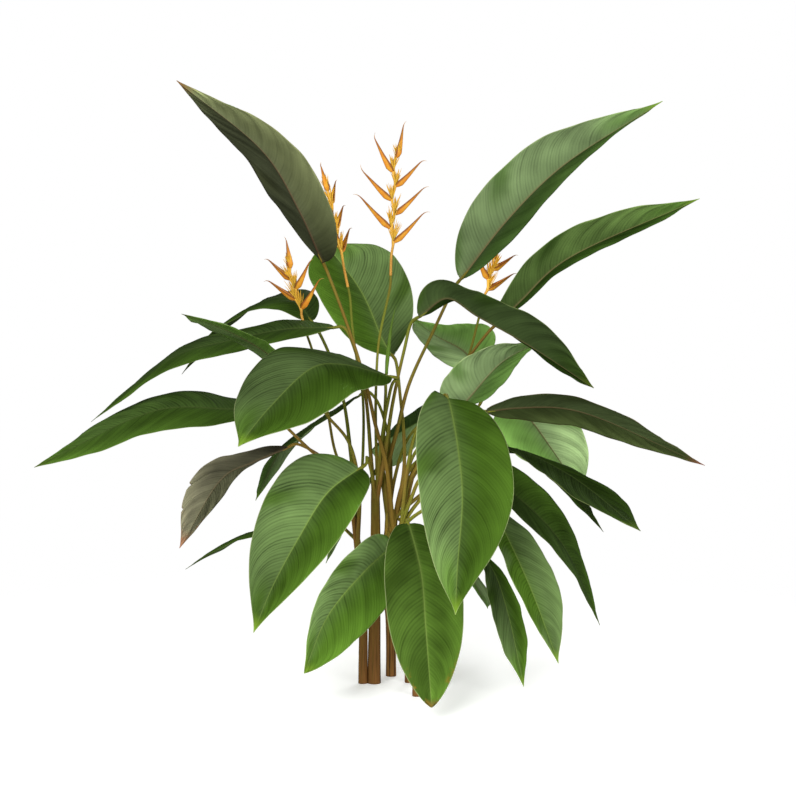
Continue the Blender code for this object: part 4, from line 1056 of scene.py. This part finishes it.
def add_rolled_leaf(shell):
    """Adds the young leaf as a sheet wound round itself into a spear."""
    path = smooth_path(ROLLED_LEAF, SPEAR_ROWS)
    share = np.linspace(0.0, 1.0, SPEAR_ROWS)
    radii = SPEAR_RADIUS * np.interp(share, np.linspace(0.0, 1.0, len(SPEAR_SHAPE)), SPEAR_SHAPE)

    def profile(angles):
        edge = 2 * math.pi * SPEAR_TURNS * share[:, None]
        return 1.06 - 0.22 * ((angles - edge) % (2 * math.pi)) / (2 * math.pi)

    add_tube(shell, path, radii, SPEAR_SIDES, (1.0, 0.0, 0.0), {"share": share[:, None]}, profile=profile)


# Shader nodes

COLOUR = "NodeSocketColor"
NUMBER = "NodeSocketFloat"


class Reading:
    """What a node puts out at each place of a surface, with the usual arithmetic."""

    def __init__(self, socket):
        self.socket = socket

    def __add__(self, other):
        return calculate("ADD", self, other)

    def __sub__(self, other):
        return calculate("SUBTRACT", self, other)

    def __rsub__(self, other):
        return calculate("SUBTRACT", other, self)

    def __mul__(self, other):
        return calculate("MULTIPLY", self, other)

    def __truediv__(self, other):
        return calculate("DIVIDE", self, other)

    def __pow__(self, other):
        return calculate("POWER", self, other)

    def __abs__(self):
        return calculate("ABSOLUTE", self)


def feed(socket, value):
    """Links a socket to a reading, or sets its value."""
    if isinstance(value, Reading):
        socket.id_data.links.new(value.socket, socket)
    elif socket.type == "RGBA":
        socket.default_value = (*tuple(value)[:3], 1.0)
    else:
        socket.default_value = value


def node_output(kind, output, inputs, **choices):
    """A reading of a new node, which stands in the tree of the readings that it is fed."""
    tree = next(value.socket.id_data for value in inputs.values() if isinstance(value, Reading))
    made = tree.nodes.new(kind)
    for name, choice in choices.items():
        setattr(made, name, choice)
    for label, value in inputs.items():
        feed(made.inputs[label], value)
    return Reading(made.outputs[output])


def calculate(operation, *values):
    """The result of a Math node."""
    return node_output("ShaderNodeMath", 0, dict(enumerate(values)), operation=operation)


def step_mask(value, low, high):
    """0 below low and 1 above high, smoothly; low may lie above high."""
    inputs = {"Value": value, "From Min": low, "From Max": high}
    return node_output("ShaderNodeMapRange", "Result", inputs, interpolation_type="SMOOTHSTEP")


def mix_colours(factor, first, second, blend="MIX"):
    """The colour output of a Mix node."""
    inputs = {0: factor, 6: first, 7: second}
    return node_output("ShaderNodeMix", 2, inputs, data_type="RGBA", blend_type=blend)


def noise(place, scale=1.0, detail=2.0, roughness=0.5):
    """A noise texture's value."""
    inputs = {"Vector": place, "Scale": scale, "Detail": detail, "Roughness": roughness}
    return node_output("ShaderNodeTexNoise", "Fac", inputs)


def vector_of(x, y, z=0.0):
    """A vector made of three values."""
    return node_output("ShaderNodeCombineXYZ", 0, {0: x, 1: y, 2: z})


def toned(colour, tone):
    """A colour times how light it is."""
    return mix_colours(1.0, colour, vector_of(tone, tone, tone), "MULTIPLY")


def map_of(tree, name):
    """The two coordinates of one of the mesh's maps."""
    source = tree.nodes.new("ShaderNodeUVMap")
    source.uv_map = name
    parts = tree.nodes.new("ShaderNodeSeparateXYZ")
    feed(parts.inputs[0], Reading(source.outputs[0]))
    return Reading(parts.outputs[0]), Reading(parts.outputs[1])


def value_of(tree, name):
    """A value that the mesh's points carry."""
    source = tree.nodes.new("ShaderNodeAttribute")
    source.attribute_name = name
    return Reading(source.outputs["Fac"])


def object_place(tree):
    """The place on the object in metres."""
    return Reading(tree.nodes.new("ShaderNodeTexCoord").outputs["Object"])


def new_group(name, inputs):
    """A node group that puts out a colour, a roughness and a height, with readings of its inputs."""
    group = bpy.data.node_groups.new(name, "ShaderNodeTree")
    for label, default in inputs.items():
        coloured = isinstance(default, tuple)
        kind = COLOUR if coloured else NUMBER
        socket = group.interface.new_socket(label, in_out="INPUT", socket_type=kind)
        socket.default_value = (*default, 1.0) if coloured else default
    for label, kind in (("Color", COLOUR), ("Roughness", NUMBER), ("Height", NUMBER)):
        group.interface.new_socket(label, in_out="OUTPUT", socket_type=kind)
    entry = group.nodes.new("NodeGroupInput")
    return group, {label: Reading(entry.outputs[label]) for label in inputs}


def finish_group(group, colour, roughness, height):
    """Feeds the outputs of a node group."""
    result = group.nodes.new("NodeGroupOutput")
    for socket, value in zip(result.inputs, (colour, roughness, height)):
        feed(socket, value)
    return group


def leaf_tissue_group():
    """Two unlike halves, one with a painted sheen, veins, midrib, margin, tip, uneven tone and painted light
    and shade of a leaf blade.
    """
    group, given = new_group("leaf_tissue", {
        "Tissue": (0.06, 0.15, 0.02), "Vivid Half": (0.05, 0.13, 0.01), "Midrib": (0.2, 0.3, 0.07),
        "Margin": (0.38, 0.42, 0.2), "Tip": (0.24, 0.42, 0.04), "Tone": 1.0, "Vein Strength": 0.5,
        "Band Strength": 0.7, "Rib Shade": 0.0, "Unevenness": 0.5, "Tip Start": 0.90, "Wear": 0.0,
        "Worn": (0.16, 0.10, 0.03), "Roughness": 0.5})
    vein, away = map_of(group, "veins")
    share, rim = map_of(group, "place")
    distance = abs(away)
    outness = distance / (distance + rim)
    cloud = noise(object_place(group), CLOUDS) - 0.5
    start = share - outness * outness * MARGIN_LEAD + cloud * 0.10

    # The greyish half is a painted sheen, which gives way to green in a patch a third of the way up, at its
    # base and towards its tip
    painted_sheen_half = step_mask(away, 0.002, -0.002)
    patch = step_mask(abs(start - PATCH_PLACE), 0.085, 0.015) * step_mask(outness, 0.15, 0.85)
    patch_shade = patch * painted_sheen_half * PATCH_SHADE
    near_tip = step_mask(start, 0.66, 0.86) * 1.1
    near_base = step_mask(start, 0.10, 0.0) * step_mask(outness, 0.3, 0.8)
    green = calculate("MAXIMUM", patch, calculate("MAXIMUM", near_tip, near_base))
    vivid = (1.0 - painted_sheen_half * (1.0 - green * PATCH_GREEN)) * step_mask(outness, -0.5, 0.45)
    colour = mix_colours(vivid, given["Tissue"], given["Vivid Half"])

    # Each vein is a wave across the blade; the grooves between some of them are darker, partly the veins'
    # own lines and partly painted shade
    waver = noise(vector_of(vein * 0.35, away * 30.0, 5.0), detail=1.0) - 0.5
    rib = calculate("COSINE", (waver * VEIN_WAVER + vein) * (2 * math.pi)) * 0.5 + 0.5
    chosen = noise(vector_of(vein * 0.8, away * 3.0, 9.0), detail=1.0)
    groove = (1.0 - rib) ** GROOVE_POWER * (step_mask(chosen, 0.45, 0.70) + 0.5)
    fine = noise(vector_of(vein * 3.0, away * 5.0), roughness=0.6)
    band = noise(vector_of(vein * 0.45, away * 7.0, 3.0), detail=1.0) - 0.5

    # How light the tissue is: its own uneven tone and darker vein grooves, a painted glow at the green
    # margin, painted shade beside the midrib, a darker patch on the sheen half, and each leaf's painted
    # light and shade
    tone = (fine - 0.5) * 0.30 + 1.03 + band * given["Band Strength"] + cloud * given["Unevenness"] * 1.4
    tone = tone - groove * given["Vein Strength"] * (1.0 - vivid * 0.35)
    # A painted glow of light along the green margin
    glow = vivid * step_mask(outness, 0.45, 1.0) * step_mask(start, -0.05, 0.25)
    beside_rib = step_mask(outness, 0.55, 0.0) * given["Rib Shade"]
    tone = (tone + glow * MARGIN_GLOW) * given["Tone"] * (1.0 - beside_rib) * (1.0 - patch_shade)
    colour = toned(colour, tone)

    # Midrib, tip, worn spots and dry margin
    rib_width = step_mask(share, 1.1, -0.1) * 0.0026 + 0.0007
    near_rib = step_mask(distance, rib_width * 4.0, rib_width)
    on_rib = step_mask(distance, rib_width * 1.2, rib_width * 0.6)
    speck = step_mask(noise(object_place(group), 60.0, 3.0, 0.6), 0.50, 0.62)
    worn = speck * step_mask(rim, 0.022, 0.002) * step_mask(share, 0.70, 0.92) * given["Wear"]
    for mask, label in ((near_rib * 0.2, "Midrib"), (on_rib * 0.75, "Midrib"),
                        (step_mask(share, given["Tip Start"], 1.0), "Tip"), (worn, "Worn"),
                        (step_mask(rim, 0.0028, 0.0008) * MARGIN_STRENGTH, "Margin")):
        colour = mix_colours(mask, colour, given[label])
    roughness = (fine - 0.5) * 0.25 + given["Roughness"]
    return finish_group(group, colour, roughness, rib * 0.45 + fine * 0.55)


def fibre_group():
    """Long fibres, streaks and dark seams of stems and stalks, and the painted light that lifts them out of
    the shade.
    """
    group, given = new_group("stem_fibres", {
        "Dry": (0.13, 0.07, 0.02), "Red": (0.13, 0.04, 0.014), "Fresh": (0.11, 0.15, 0.02),
        "Seam": (0.02, 0.012, 0.006), "Green Share": 0.3, "Red Share": 0.3, "Seam Mark": 0.0,
        "Tone": 1.0, "Roughness": 0.5})
    along, around = map_of(group, "fibres")
    turn = around * (2 * math.pi)
    ring = (calculate("COSINE", turn), calculate("SINE", turn))
    streak, fibre = (noise(vector_of(ring[0] * wide, ring[1] * wide, along * high), 1.0, 3.0, 0.6)
                     for wide, high in (STREAKS, FIBRES))
    cloud = noise(object_place(group), 11.0)
    reddish = given["Red Share"] + (streak - 0.62)
    greenish = given["Green Share"] + (cloud - 0.5) + (streak - 0.5) * 0.5
    colour = mix_colours(step_mask(reddish, 0.0, 0.5), given["Dry"], given["Red"])
    colour = mix_colours(step_mask(greenish, 0.15, 0.85), colour, given["Fresh"])
    # Fibres and streaks vary the tone; painted light lifts stems and stalks out of the shade under the
    # leaves
    tone = ((fibre - 0.5) * 1.9 + 1.0 + (streak - 0.5) * 1.3) * given["Tone"]
    colour = toned(colour, tone)
    dark_line = step_mask(fibre * 0.35 + streak * 0.65, 0.42, 0.36)
    colour = mix_colours(dark_line * 0.6, colour, given["Seam"])
    colour = mix_colours(step_mask(given["Seam Mark"], 0.1, 0.9), colour, given["Seam"])
    roughness = (fibre - 0.5) * 0.4 + given["Roughness"]
    return finish_group(group, colour, roughness, fibre * 0.8 + streak * 0.4)


def new_material(name):
    """A material, its node tree and its shader."""
    made = bpy.data.materials.new(name)
    made.use_nodes = True
    return made, made.node_tree, made.node_tree.nodes["Principled BSDF"]


def feed_shader(shader, colour, roughness, height, relief, specular):
    """Feeds a shader its colour, roughness and relief, which is in metres for a height of 1."""
    feed(shader.inputs["Base Color"], colour)
    feed(shader.inputs["Roughness"], roughness)
    bump = node_output("ShaderNodeBump", "Normal", {"Distance": relief, "Height": height})
    feed(shader.inputs["Normal"], bump)
    shader.inputs["Specular IOR Level"].default_value = specular


def place_group(tree, shader, name, maker, values, relief, specular):
    """Feeds a shader from a node group with its own values; the group is made when first needed."""
    placed = tree.nodes.new("ShaderNodeGroup")
    placed.node_tree = bpy.data.node_groups.get(name) or maker()
    for label, value in values.items():
        feed(placed.inputs[label], value)
    surface = (Reading(placed.outputs[label]) for label in ("Color", "Roughness", "Height"))
    feed_shader(shader, *surface, relief, specular)


def leaf_material(name, values, specular=0.0, lit_midrib=False):
    """A leaf finish: the leaf tissue with its own colours and each leaf's painted light; a lit midrib takes
    the same painted light as the tissue.
    """
    made, tree, shader = new_material(name)
    tone = value_of(tree, "tone")
    values = {"Tone": tone, **values}
    if lit_midrib:
        values["Midrib"] = toned(values["Midrib"], tone)
    place_group(tree, shader, "leaf_tissue", leaf_tissue_group, values, LEAF_RELIEF, specular)
    return made


def scaled(colour, red, green, blue):
    """A colour with each of its parts made stronger or weaker."""
    return tuple(min(1.0, part * factor) for part, factor in zip(colour, (red, green, blue)))


def leaf_materials(settings):
    """The finishes of the upper sides and undersides of the leaves, by name."""
    usual = {"Margin": settings.margin, "Tip": settings.tip, "Midrib": settings.midrib}
    under = {**usual, "Midrib": settings.brown_midrib}
    return {
        "fresh": leaf_material("leaf_upper_fresh", {
            **usual, "Tissue": settings.painted_sheen_half, "Vivid Half": settings.vivid,
            "Vein Strength": 0.34, "Unevenness": 0.8}, lit_midrib=True),
        # Turned: the painted sheen lies on the other half
        "turned": leaf_material("leaf_upper_turned", {
            **usual, "Tissue": settings.vivid, "Vivid Half": settings.painted_sheen_half,
            "Vein Strength": 0.34, "Unevenness": 0.8}, lit_midrib=True),
        "bleached": leaf_material("leaf_upper_bleached", {
            **usual, "Tissue": settings.pale_vivid, "Vivid Half": settings.pale,
            "Vein Strength": 0.2, "Unevenness": 0.8}),
        # Deep: the upper side darkened with painted shade
        "deep": leaf_material("leaf_upper_deep", {
            **usual, "Tissue": settings.deep, "Vivid Half": scaled(settings.deep, 0.9, 1.0, 0.6),
            "Margin": scaled(settings.margin, 0.5, 0.5, 0.4), "Tip": scaled(settings.tip, 0.4, 0.4, 0.4),
            "Midrib": scaled(settings.midrib, 0.45, 0.45, 0.5),
            "Vein Strength": 0.36, "Unevenness": 0.7, "Roughness": 0.55}, 0.02),
        "old": leaf_material("leaf_upper_old", {
            **usual, "Tissue": settings.old, "Vivid Half": scaled(settings.vivid, 0.9, 0.85, 1.0),
            "Tip": (0.10, 0.075, 0.02), "Tip Start": 0.955, "Worn": (0.13, 0.085, 0.012), "Wear": 1.0,
            "Vein Strength": 0.28, "Unevenness": 1.1}),
        "pale": leaf_material("leaf_under_pale", {
            **under, "Tissue": settings.pale, "Vivid Half": settings.pale_vivid,
            "Vein Strength": 0.22, "Band Strength": 0.3, "Rib Shade": 0.30, "Unevenness": 0.9,
            "Roughness": 0.55}),
        "green": leaf_material("leaf_under_green", {
            **under, "Tissue": scaled(settings.pale, 0.5, 0.58, 0.35),
            "Vivid Half": scaled(settings.pale_vivid, 0.45, 0.5, 0.35),
            "Vein Strength": 0.26, "Band Strength": 0.8, "Rib Shade": 0.2, "Unevenness": 1.0}),
        "shaded": leaf_material("leaf_under_shaded", {
            **under, "Tissue": settings.shaded, "Vivid Half": scaled(settings.shaded, 0.8, 1.0, 0.5),
            "Margin": scaled(settings.margin, 0.5, 0.5, 0.4), "Tip": scaled(settings.tip, 0.35, 0.3, 0.3),
            "Midrib": scaled(settings.brown_midrib, 0.6, 0.6, 0.6),
            "Vein Strength": 0.14, "Band Strength": 0.8, "Unevenness": 0.6, "Roughness": 0.55}),
        "olive": leaf_material("leaf_under_olive", {
            **under, "Tissue": settings.olive, "Vivid Half": scaled(settings.olive, 0.95, 0.95, 0.8),
            "Midrib": (0.055, 0.026, 0.016), "Margin": (0.14, 0.09, 0.05), "Tip": (0.20, 0.10, 0.03),
            "Vein Strength": 0.16, "Band Strength": 0.7, "Unevenness": 0.7, "Roughness": 0.55}),
        "faded": leaf_material("leaf_under_faded", {
            **under, "Tissue": settings.faded, "Vivid Half": scaled(settings.faded, 0.82, 0.78, 0.85),
            "Midrib": (0.10, 0.075, 0.04), "Margin": (0.20, 0.12, 0.06), "Tip": (0.36, 0.17, 0.09),
            "Worn": (0.30, 0.14, 0.07), "Tip Start": 0.86, "Wear": 0.8,
            "Vein Strength": 0.3, "Unevenness": 1.0}),
        "amber": leaf_material("leaf_under_amber", {
            **under, "Tissue": scaled(settings.olive, 0.85, 1.05, 0.75),
            "Vivid Half": scaled(settings.olive, 0.7, 0.85, 0.5),
            "Midrib": (0.085, 0.052, 0.026), "Margin": (0.22, 0.09, 0.05), "Tip": (0.20, 0.07, 0.04),
            "Vein Strength": 0.16, "Band Strength": 0.7, "Unevenness": 0.7, "Roughness": 0.55}),
    }


def fibre_material(name, values, relief, specular=0.05):
    """A stem or stalk finish: the stem fibres with their own colours."""
    made, tree, shader = new_material(name)
    carried = {label: value_of(tree, value) for label, value in values.items() if isinstance(value, str)}
    place_group(tree, shader, "stem_fibres", fibre_group, {**values, **carried}, relief, specular)
    return made


def shoot_material(settings):
    """The finish of stems and stalks, brown at the foot and greener higher up."""
    return fibre_material("stem_sheaths", {
        "Dry": settings.brown, "Red": settings.red, "Fresh": settings.green, "Seam": settings.seam,
        "Green Share": "green", "Red Share": "red", "Seam Mark": "seam", "Tone": "tone",
        "Roughness": 0.55}, 0.0006)


def bract_material(settings):
    """Orange bracts with darker edges and keel, and a dry pale tip."""
    made, tree, shader = new_material("bract_skin")
    # Painted light that brightens a head lying in shade
    share, rim, keel, tone = (value_of(tree, name) for name in ("share", "rim", "keel", "tone"))
    along, around = map_of(tree, "fibres")
    grain = noise(vector_of(along * 60.0, around * 60.0), 1.0, 3.0, 0.6)
    cloud = noise(object_place(tree), 45.0)
    warm = scaled(settings.bract, 1.15, 1.6, 1.6)
    colour = mix_colours(step_mask(cloud, 0.35, 0.75), settings.bract, warm)
    for mark, start, end, strength in ((grain * 0.25 + rim, 0.80, 1.04, 1.0),
                                       (grain * 0.2 + keel, 0.95, 1.15, 0.7),
                                       (grain * 0.4 + share, 0.60, 0.95, 0.65)):
        colour = mix_colours(step_mask(mark, start, end) * strength, colour, settings.bract_edge)
    colour = mix_colours(step_mask(share, 0.86, 0.97), colour, settings.bract_tip)
    feed_shader(shader, toned(colour, tone), grain * 0.2 + 0.46, grain, 0.0003, FLOWER_SHINE)
    return made


def rachis_material(settings):
    """Orange stalk that turns golden above the first bract."""
    made, tree, shader = new_material("rachis_skin")
    fuzz = noise(object_place(tree), 900.0, roughness=0.6)
    place = (noise(object_place(tree), 60.0) - 0.5) * 0.2 + value_of(tree, "share")
    colour = mix_colours(step_mask(place, 0.15, 0.36), settings.stalk, settings.rachis)
    colour = mix_colours(step_mask(fuzz, 0.4, 0.75), colour, scaled(settings.rachis, 1.2, 1.35, 1.8))
    # Painted light that brightens a head lying in shade
    colour = toned(colour, value_of(tree, "tone"))
    feed_shader(shader, colour, fuzz * 0.2 + 0.5, fuzz, 0.0003, FLOWER_SHINE)
    return made


def flower_material(settings):
    """Golden flowers with a greenish foot."""
    made, tree, shader = new_material("flower_petals")
    cloud = noise(object_place(tree), 220.0)
    place = (cloud - 0.5) * 0.5 + value_of(tree, "share")
    colour = mix_colours(step_mask(place, 0.05, 0.5), settings.flower_base, settings.flower)
    colour = mix_colours(step_mask(place, 0.8, 1.1), colour, scaled(settings.flower, 0.75, 0.6, 0.6))
    # Painted light that brightens a head lying in shade
    colour = toned(colour, value_of(tree, "tone"))
    feed_shader(shader, colour, cloud * 0.2 + 0.5, cloud, 0.0002, FLOWER_SHINE)
    return made


def rolled_material(settings):
    """The fresh green of the leaf that is still rolled up."""
    return fibre_material("rolled_leaf_skin", {
        "Dry": scaled(settings.vivid, 1.6, 1.3, 1.6), "Red": settings.vivid,
        "Fresh": scaled(settings.vivid, 2.5, 2.2, 2.6), "Seam": scaled(settings.vivid, 0.5, 0.5, 0.5),
        "Green Share": 0.45, "Red Share": 0.2, "Seam Mark": 0.0, "Roughness": 0.42}, 0.0003)


# Operators

def settings_of(context):
    """All the clump's settings."""
    return context.scene.heliconia


class HELICONIA_OT_leaves(bpy.types.Operator):
    """Builds the 29 leaf blades"""
    bl_idname = "heliconia.leaves"
    bl_label = "Leaf Blades"

    def execute(self, context):
        settings = settings_of(context).leaf
        finishes = leaf_materials(settings)
        for number, name in enumerate(LEAVES):
            shell = Shell()
            add_blade(shell, name, number, settings)
            upper, under = LEAF_FINISHES[name][:2]
            piece = shell.build(name + "_blade", [finishes[upper], finishes[under]])
            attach(piece, "root")
            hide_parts(name)
        return {"FINISHED"}


class HELICONIA_OT_shoots(bpy.types.Operator):
    """Builds the five stems with the stalks that grow out of them"""
    bl_idname = "heliconia.shoots"
    bl_label = "Stems and Stalks"

    def execute(self, context):
        settings = settings_of(context).shoot
        finish = shoot_material(settings)
        for seed, (name, shoot) in enumerate(SHOOTS.items()):
            chance = random.Random(40 + seed)
            shell = Shell()
            add_stem(shell, shoot, chance, settings)
            load = load_of(shoot)
            for number, (carries, via) in enumerate(load):
                add_stalk(shell, shoot, carries, number, len(load), via, chance)
            piece = shell.build(name + "_sheaths", [finish])
            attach(piece, "root")
            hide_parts(name)
        return {"FINISHED"}


class HELICONIA_OT_flower_heads(bpy.types.Operator):
    """Builds the four flower heads"""
    bl_idname = "heliconia.flower_heads"
    bl_label = "Flower Heads"

    def execute(self, context):
        settings = settings_of(context).flower
        finishes = [bract_material(settings), rachis_material(settings), flower_material(settings)]
        for seed, (name, head) in enumerate(FLOWER_HEADS.items()):
            piece = flower_head(name + "_bracts", head, finishes, settings, random.Random(70 + seed))
            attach(piece, "root")
            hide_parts(name)
        return {"FINISHED"}


class HELICONIA_OT_rolled_leaf(bpy.types.Operator):
    """Builds the young leaf that is still rolled up"""
    bl_idname = "heliconia.rolled_leaf"
    bl_label = "Rolled Leaf"

    def execute(self, context):
        shell = Shell()
        add_rolled_leaf(shell)
        piece = shell.build("rolled_leaf_spear", [rolled_material(settings_of(context).leaf)])
        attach(piece, "root")
        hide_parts("rolled_leaf")
        return {"FINISHED"}


def add_floor(settings):
    """A pale floor that fades into the white background."""
    mesh = bpy.data.meshes.new("floor")
    corners = [(FLOOR_RADIUS * math.cos(angle), FLOOR_RADIUS * math.sin(angle), 0.0)
               for angle in angles_round(FLOOR_SIDES)]
    mesh.from_pydata(corners, [], [list(range(FLOOR_SIDES))])
    floor = bpy.data.objects.new("floor", mesh)
    bpy.context.scene.collection.objects.link(floor)
    made, tree, shader = new_material("floor_paint")
    place = object_place(tree)
    grain = noise(place, 30.0, 3.0, 0.6)
    darker = scaled(settings.floor, 0.98, 0.98, 0.98)
    distance = node_output("ShaderNodeVectorMath", "Value", {0: place}, operation="LENGTH")
    feed(shader.inputs["Base Color"], mix_colours(grain * 0.3, settings.floor, darker))
    feed(shader.inputs["Alpha"], step_mask(distance, *FLOOR_FADE))
    shader.inputs["Roughness"].default_value = 0.9
    shader.inputs["Specular IOR Level"].default_value = 0.1
    shader.inputs["Emission Color"].default_value = (1.0, 1.0, 1.0, 1.0)
    shader.inputs["Emission Strength"].default_value = 0.3
    mesh.materials.append(made)


def add_area_light(name, place, size, power, mirrored):
    """A square soft light that points at the middle of the clump."""
    data = bpy.data.lights.new(name, "AREA")
    data.shape = "SQUARE"
    data.size = size
    data.energy = power
    data.specular_factor = mirrored
    light = bpy.data.objects.new(name, data)
    bpy.context.scene.collection.objects.link(light)
    light.location = place
    back = unit(np.array(place) - np.array(LIT_POINT))
    steep = math.atan2(math.hypot(back[0], back[1]), back[2])
    light.rotation_euler = (steep, 0.0, math.atan2(back[0], -back[1]))


def add_sky(strength):
    """An even white light all round, seen as a white background and only dimly mirrored."""
    world = bpy.data.worlds.new("studio")
    world.use_nodes = True
    tree = world.node_tree
    tree.nodes.clear()
    even, mirrored, seen = (tree.nodes.new("ShaderNodeBackground") for _ in range(3))
    for background, power in ((even, strength), (mirrored, strength * SKY_MIRRORED), (seen, 1.0)):
        background.inputs["Color"].default_value = (1.0, 1.0, 1.0, 1.0)
        background.inputs["Strength"].default_value = power
    path = tree.nodes.new("ShaderNodeLightPath")
    dim = tree.nodes.new("ShaderNodeMixShader")
    pick = tree.nodes.new("ShaderNodeMixShader")
    result = tree.nodes.new("ShaderNodeOutputWorld")
    for source, target in ((path.outputs["Is Glossy Ray"], dim.inputs[0]),
                           (even.outputs[0], dim.inputs[1]),
                           (mirrored.outputs[0], dim.inputs[2]),
                           (path.outputs["Is Camera Ray"], pick.inputs[0]),
                           (dim.outputs[0], pick.inputs[1]),
                           (seen.outputs[0], pick.inputs[2]),
                           (pick.outputs[0], result.inputs[0])):
        tree.links.new(source, target)
    bpy.context.scene.world = world


class HELICONIA_OT_stage(bpy.types.Operator):
    """Adds the floor, the soft lights and the camera"""
    bl_idname = "heliconia.stage"
    bl_label = "Floor, Light and Camera"

    def execute(self, context):
        settings = settings_of(context).stage
        add_floor(settings)
        add_sky(settings.sky)
        for name, (place, size, mirrored) in LIGHTS.items():
            add_area_light(name + "_light", place, size, getattr(settings, name), mirrored)
        data = bpy.data.cameras.new("camera")
        data.lens = CAMERA_LENS
        data.sensor_width = 36.0
        data.clip_end = 200.0
        camera = bpy.data.objects.new("camera", data)
        camera.location = CAMERA_PLACE
        camera.rotation_euler = (math.radians(CAMERA_TILT), 0.0, 0.0)
        context.scene.collection.objects.link(camera)
        context.scene.camera = camera
        context.scene.view_settings.view_transform = "Standard"
        return {"FINISHED"}


class HeliconiaSettings(bpy.types.PropertyGroup):
    """All the settings of the clump"""
    leaf: bpy.props.PointerProperty(type=HeliconiaLeafSettings, name="Leaves")
    shoot: bpy.props.PointerProperty(type=HeliconiaShootSettings, name="Shoots")
    flower: bpy.props.PointerProperty(type=HeliconiaFlowerSettings, name="Flowers")
    stage: bpy.props.PointerProperty(type=HeliconiaStageSettings, name="Stage")


OPERATORS = (HELICONIA_OT_stage, HELICONIA_OT_leaves, HELICONIA_OT_shoots, HELICONIA_OT_flower_heads,
             HELICONIA_OT_rolled_leaf)


class HELICONIA_PT_clump(bpy.types.Panel):
    """The clump's operators and settings"""
    bl_idname = "HELICONIA_PT_clump"
    bl_label = "Heliconia Clump"
    bl_space_type = "VIEW_3D"
    bl_region_type = "UI"
    bl_category = "Heliconia"

    def draw(self, context):
        layout = self.layout
        for operator in OPERATORS:
            layout.operator(operator.bl_idname)
        settings = settings_of(context)
        for part in (settings.leaf, settings.shoot, settings.flower, settings.stage):
            box = layout.box()
            for label in part.__annotations__:
                box.prop(part, label)


CLASSES = (HeliconiaLeafSettings, HeliconiaShootSettings, HeliconiaFlowerSettings, HeliconiaStageSettings,
           HeliconiaSettings, *OPERATORS, HELICONIA_PT_clump)


def register():
    """Registers the classes and the settings."""
    for item in CLASSES:
        bpy.utils.register_class(item)
    bpy.types.Scene.heliconia = bpy.props.PointerProperty(type=HeliconiaSettings)


def unregister():
    """Removes the settings and the classes."""
    del bpy.types.Scene.heliconia
    for item in reversed(CLASSES):
        bpy.utils.unregister_class(item)


def main():
    """Builds the stage and every piece."""
    register()
    bpy.ops.heliconia.stage()
    bpy.ops.heliconia.leaves()
    bpy.ops.heliconia.shoots()
    bpy.ops.heliconia.flower_heads()
    bpy.ops.heliconia.rolled_leaf()


if __name__ == "__main__":
    main()
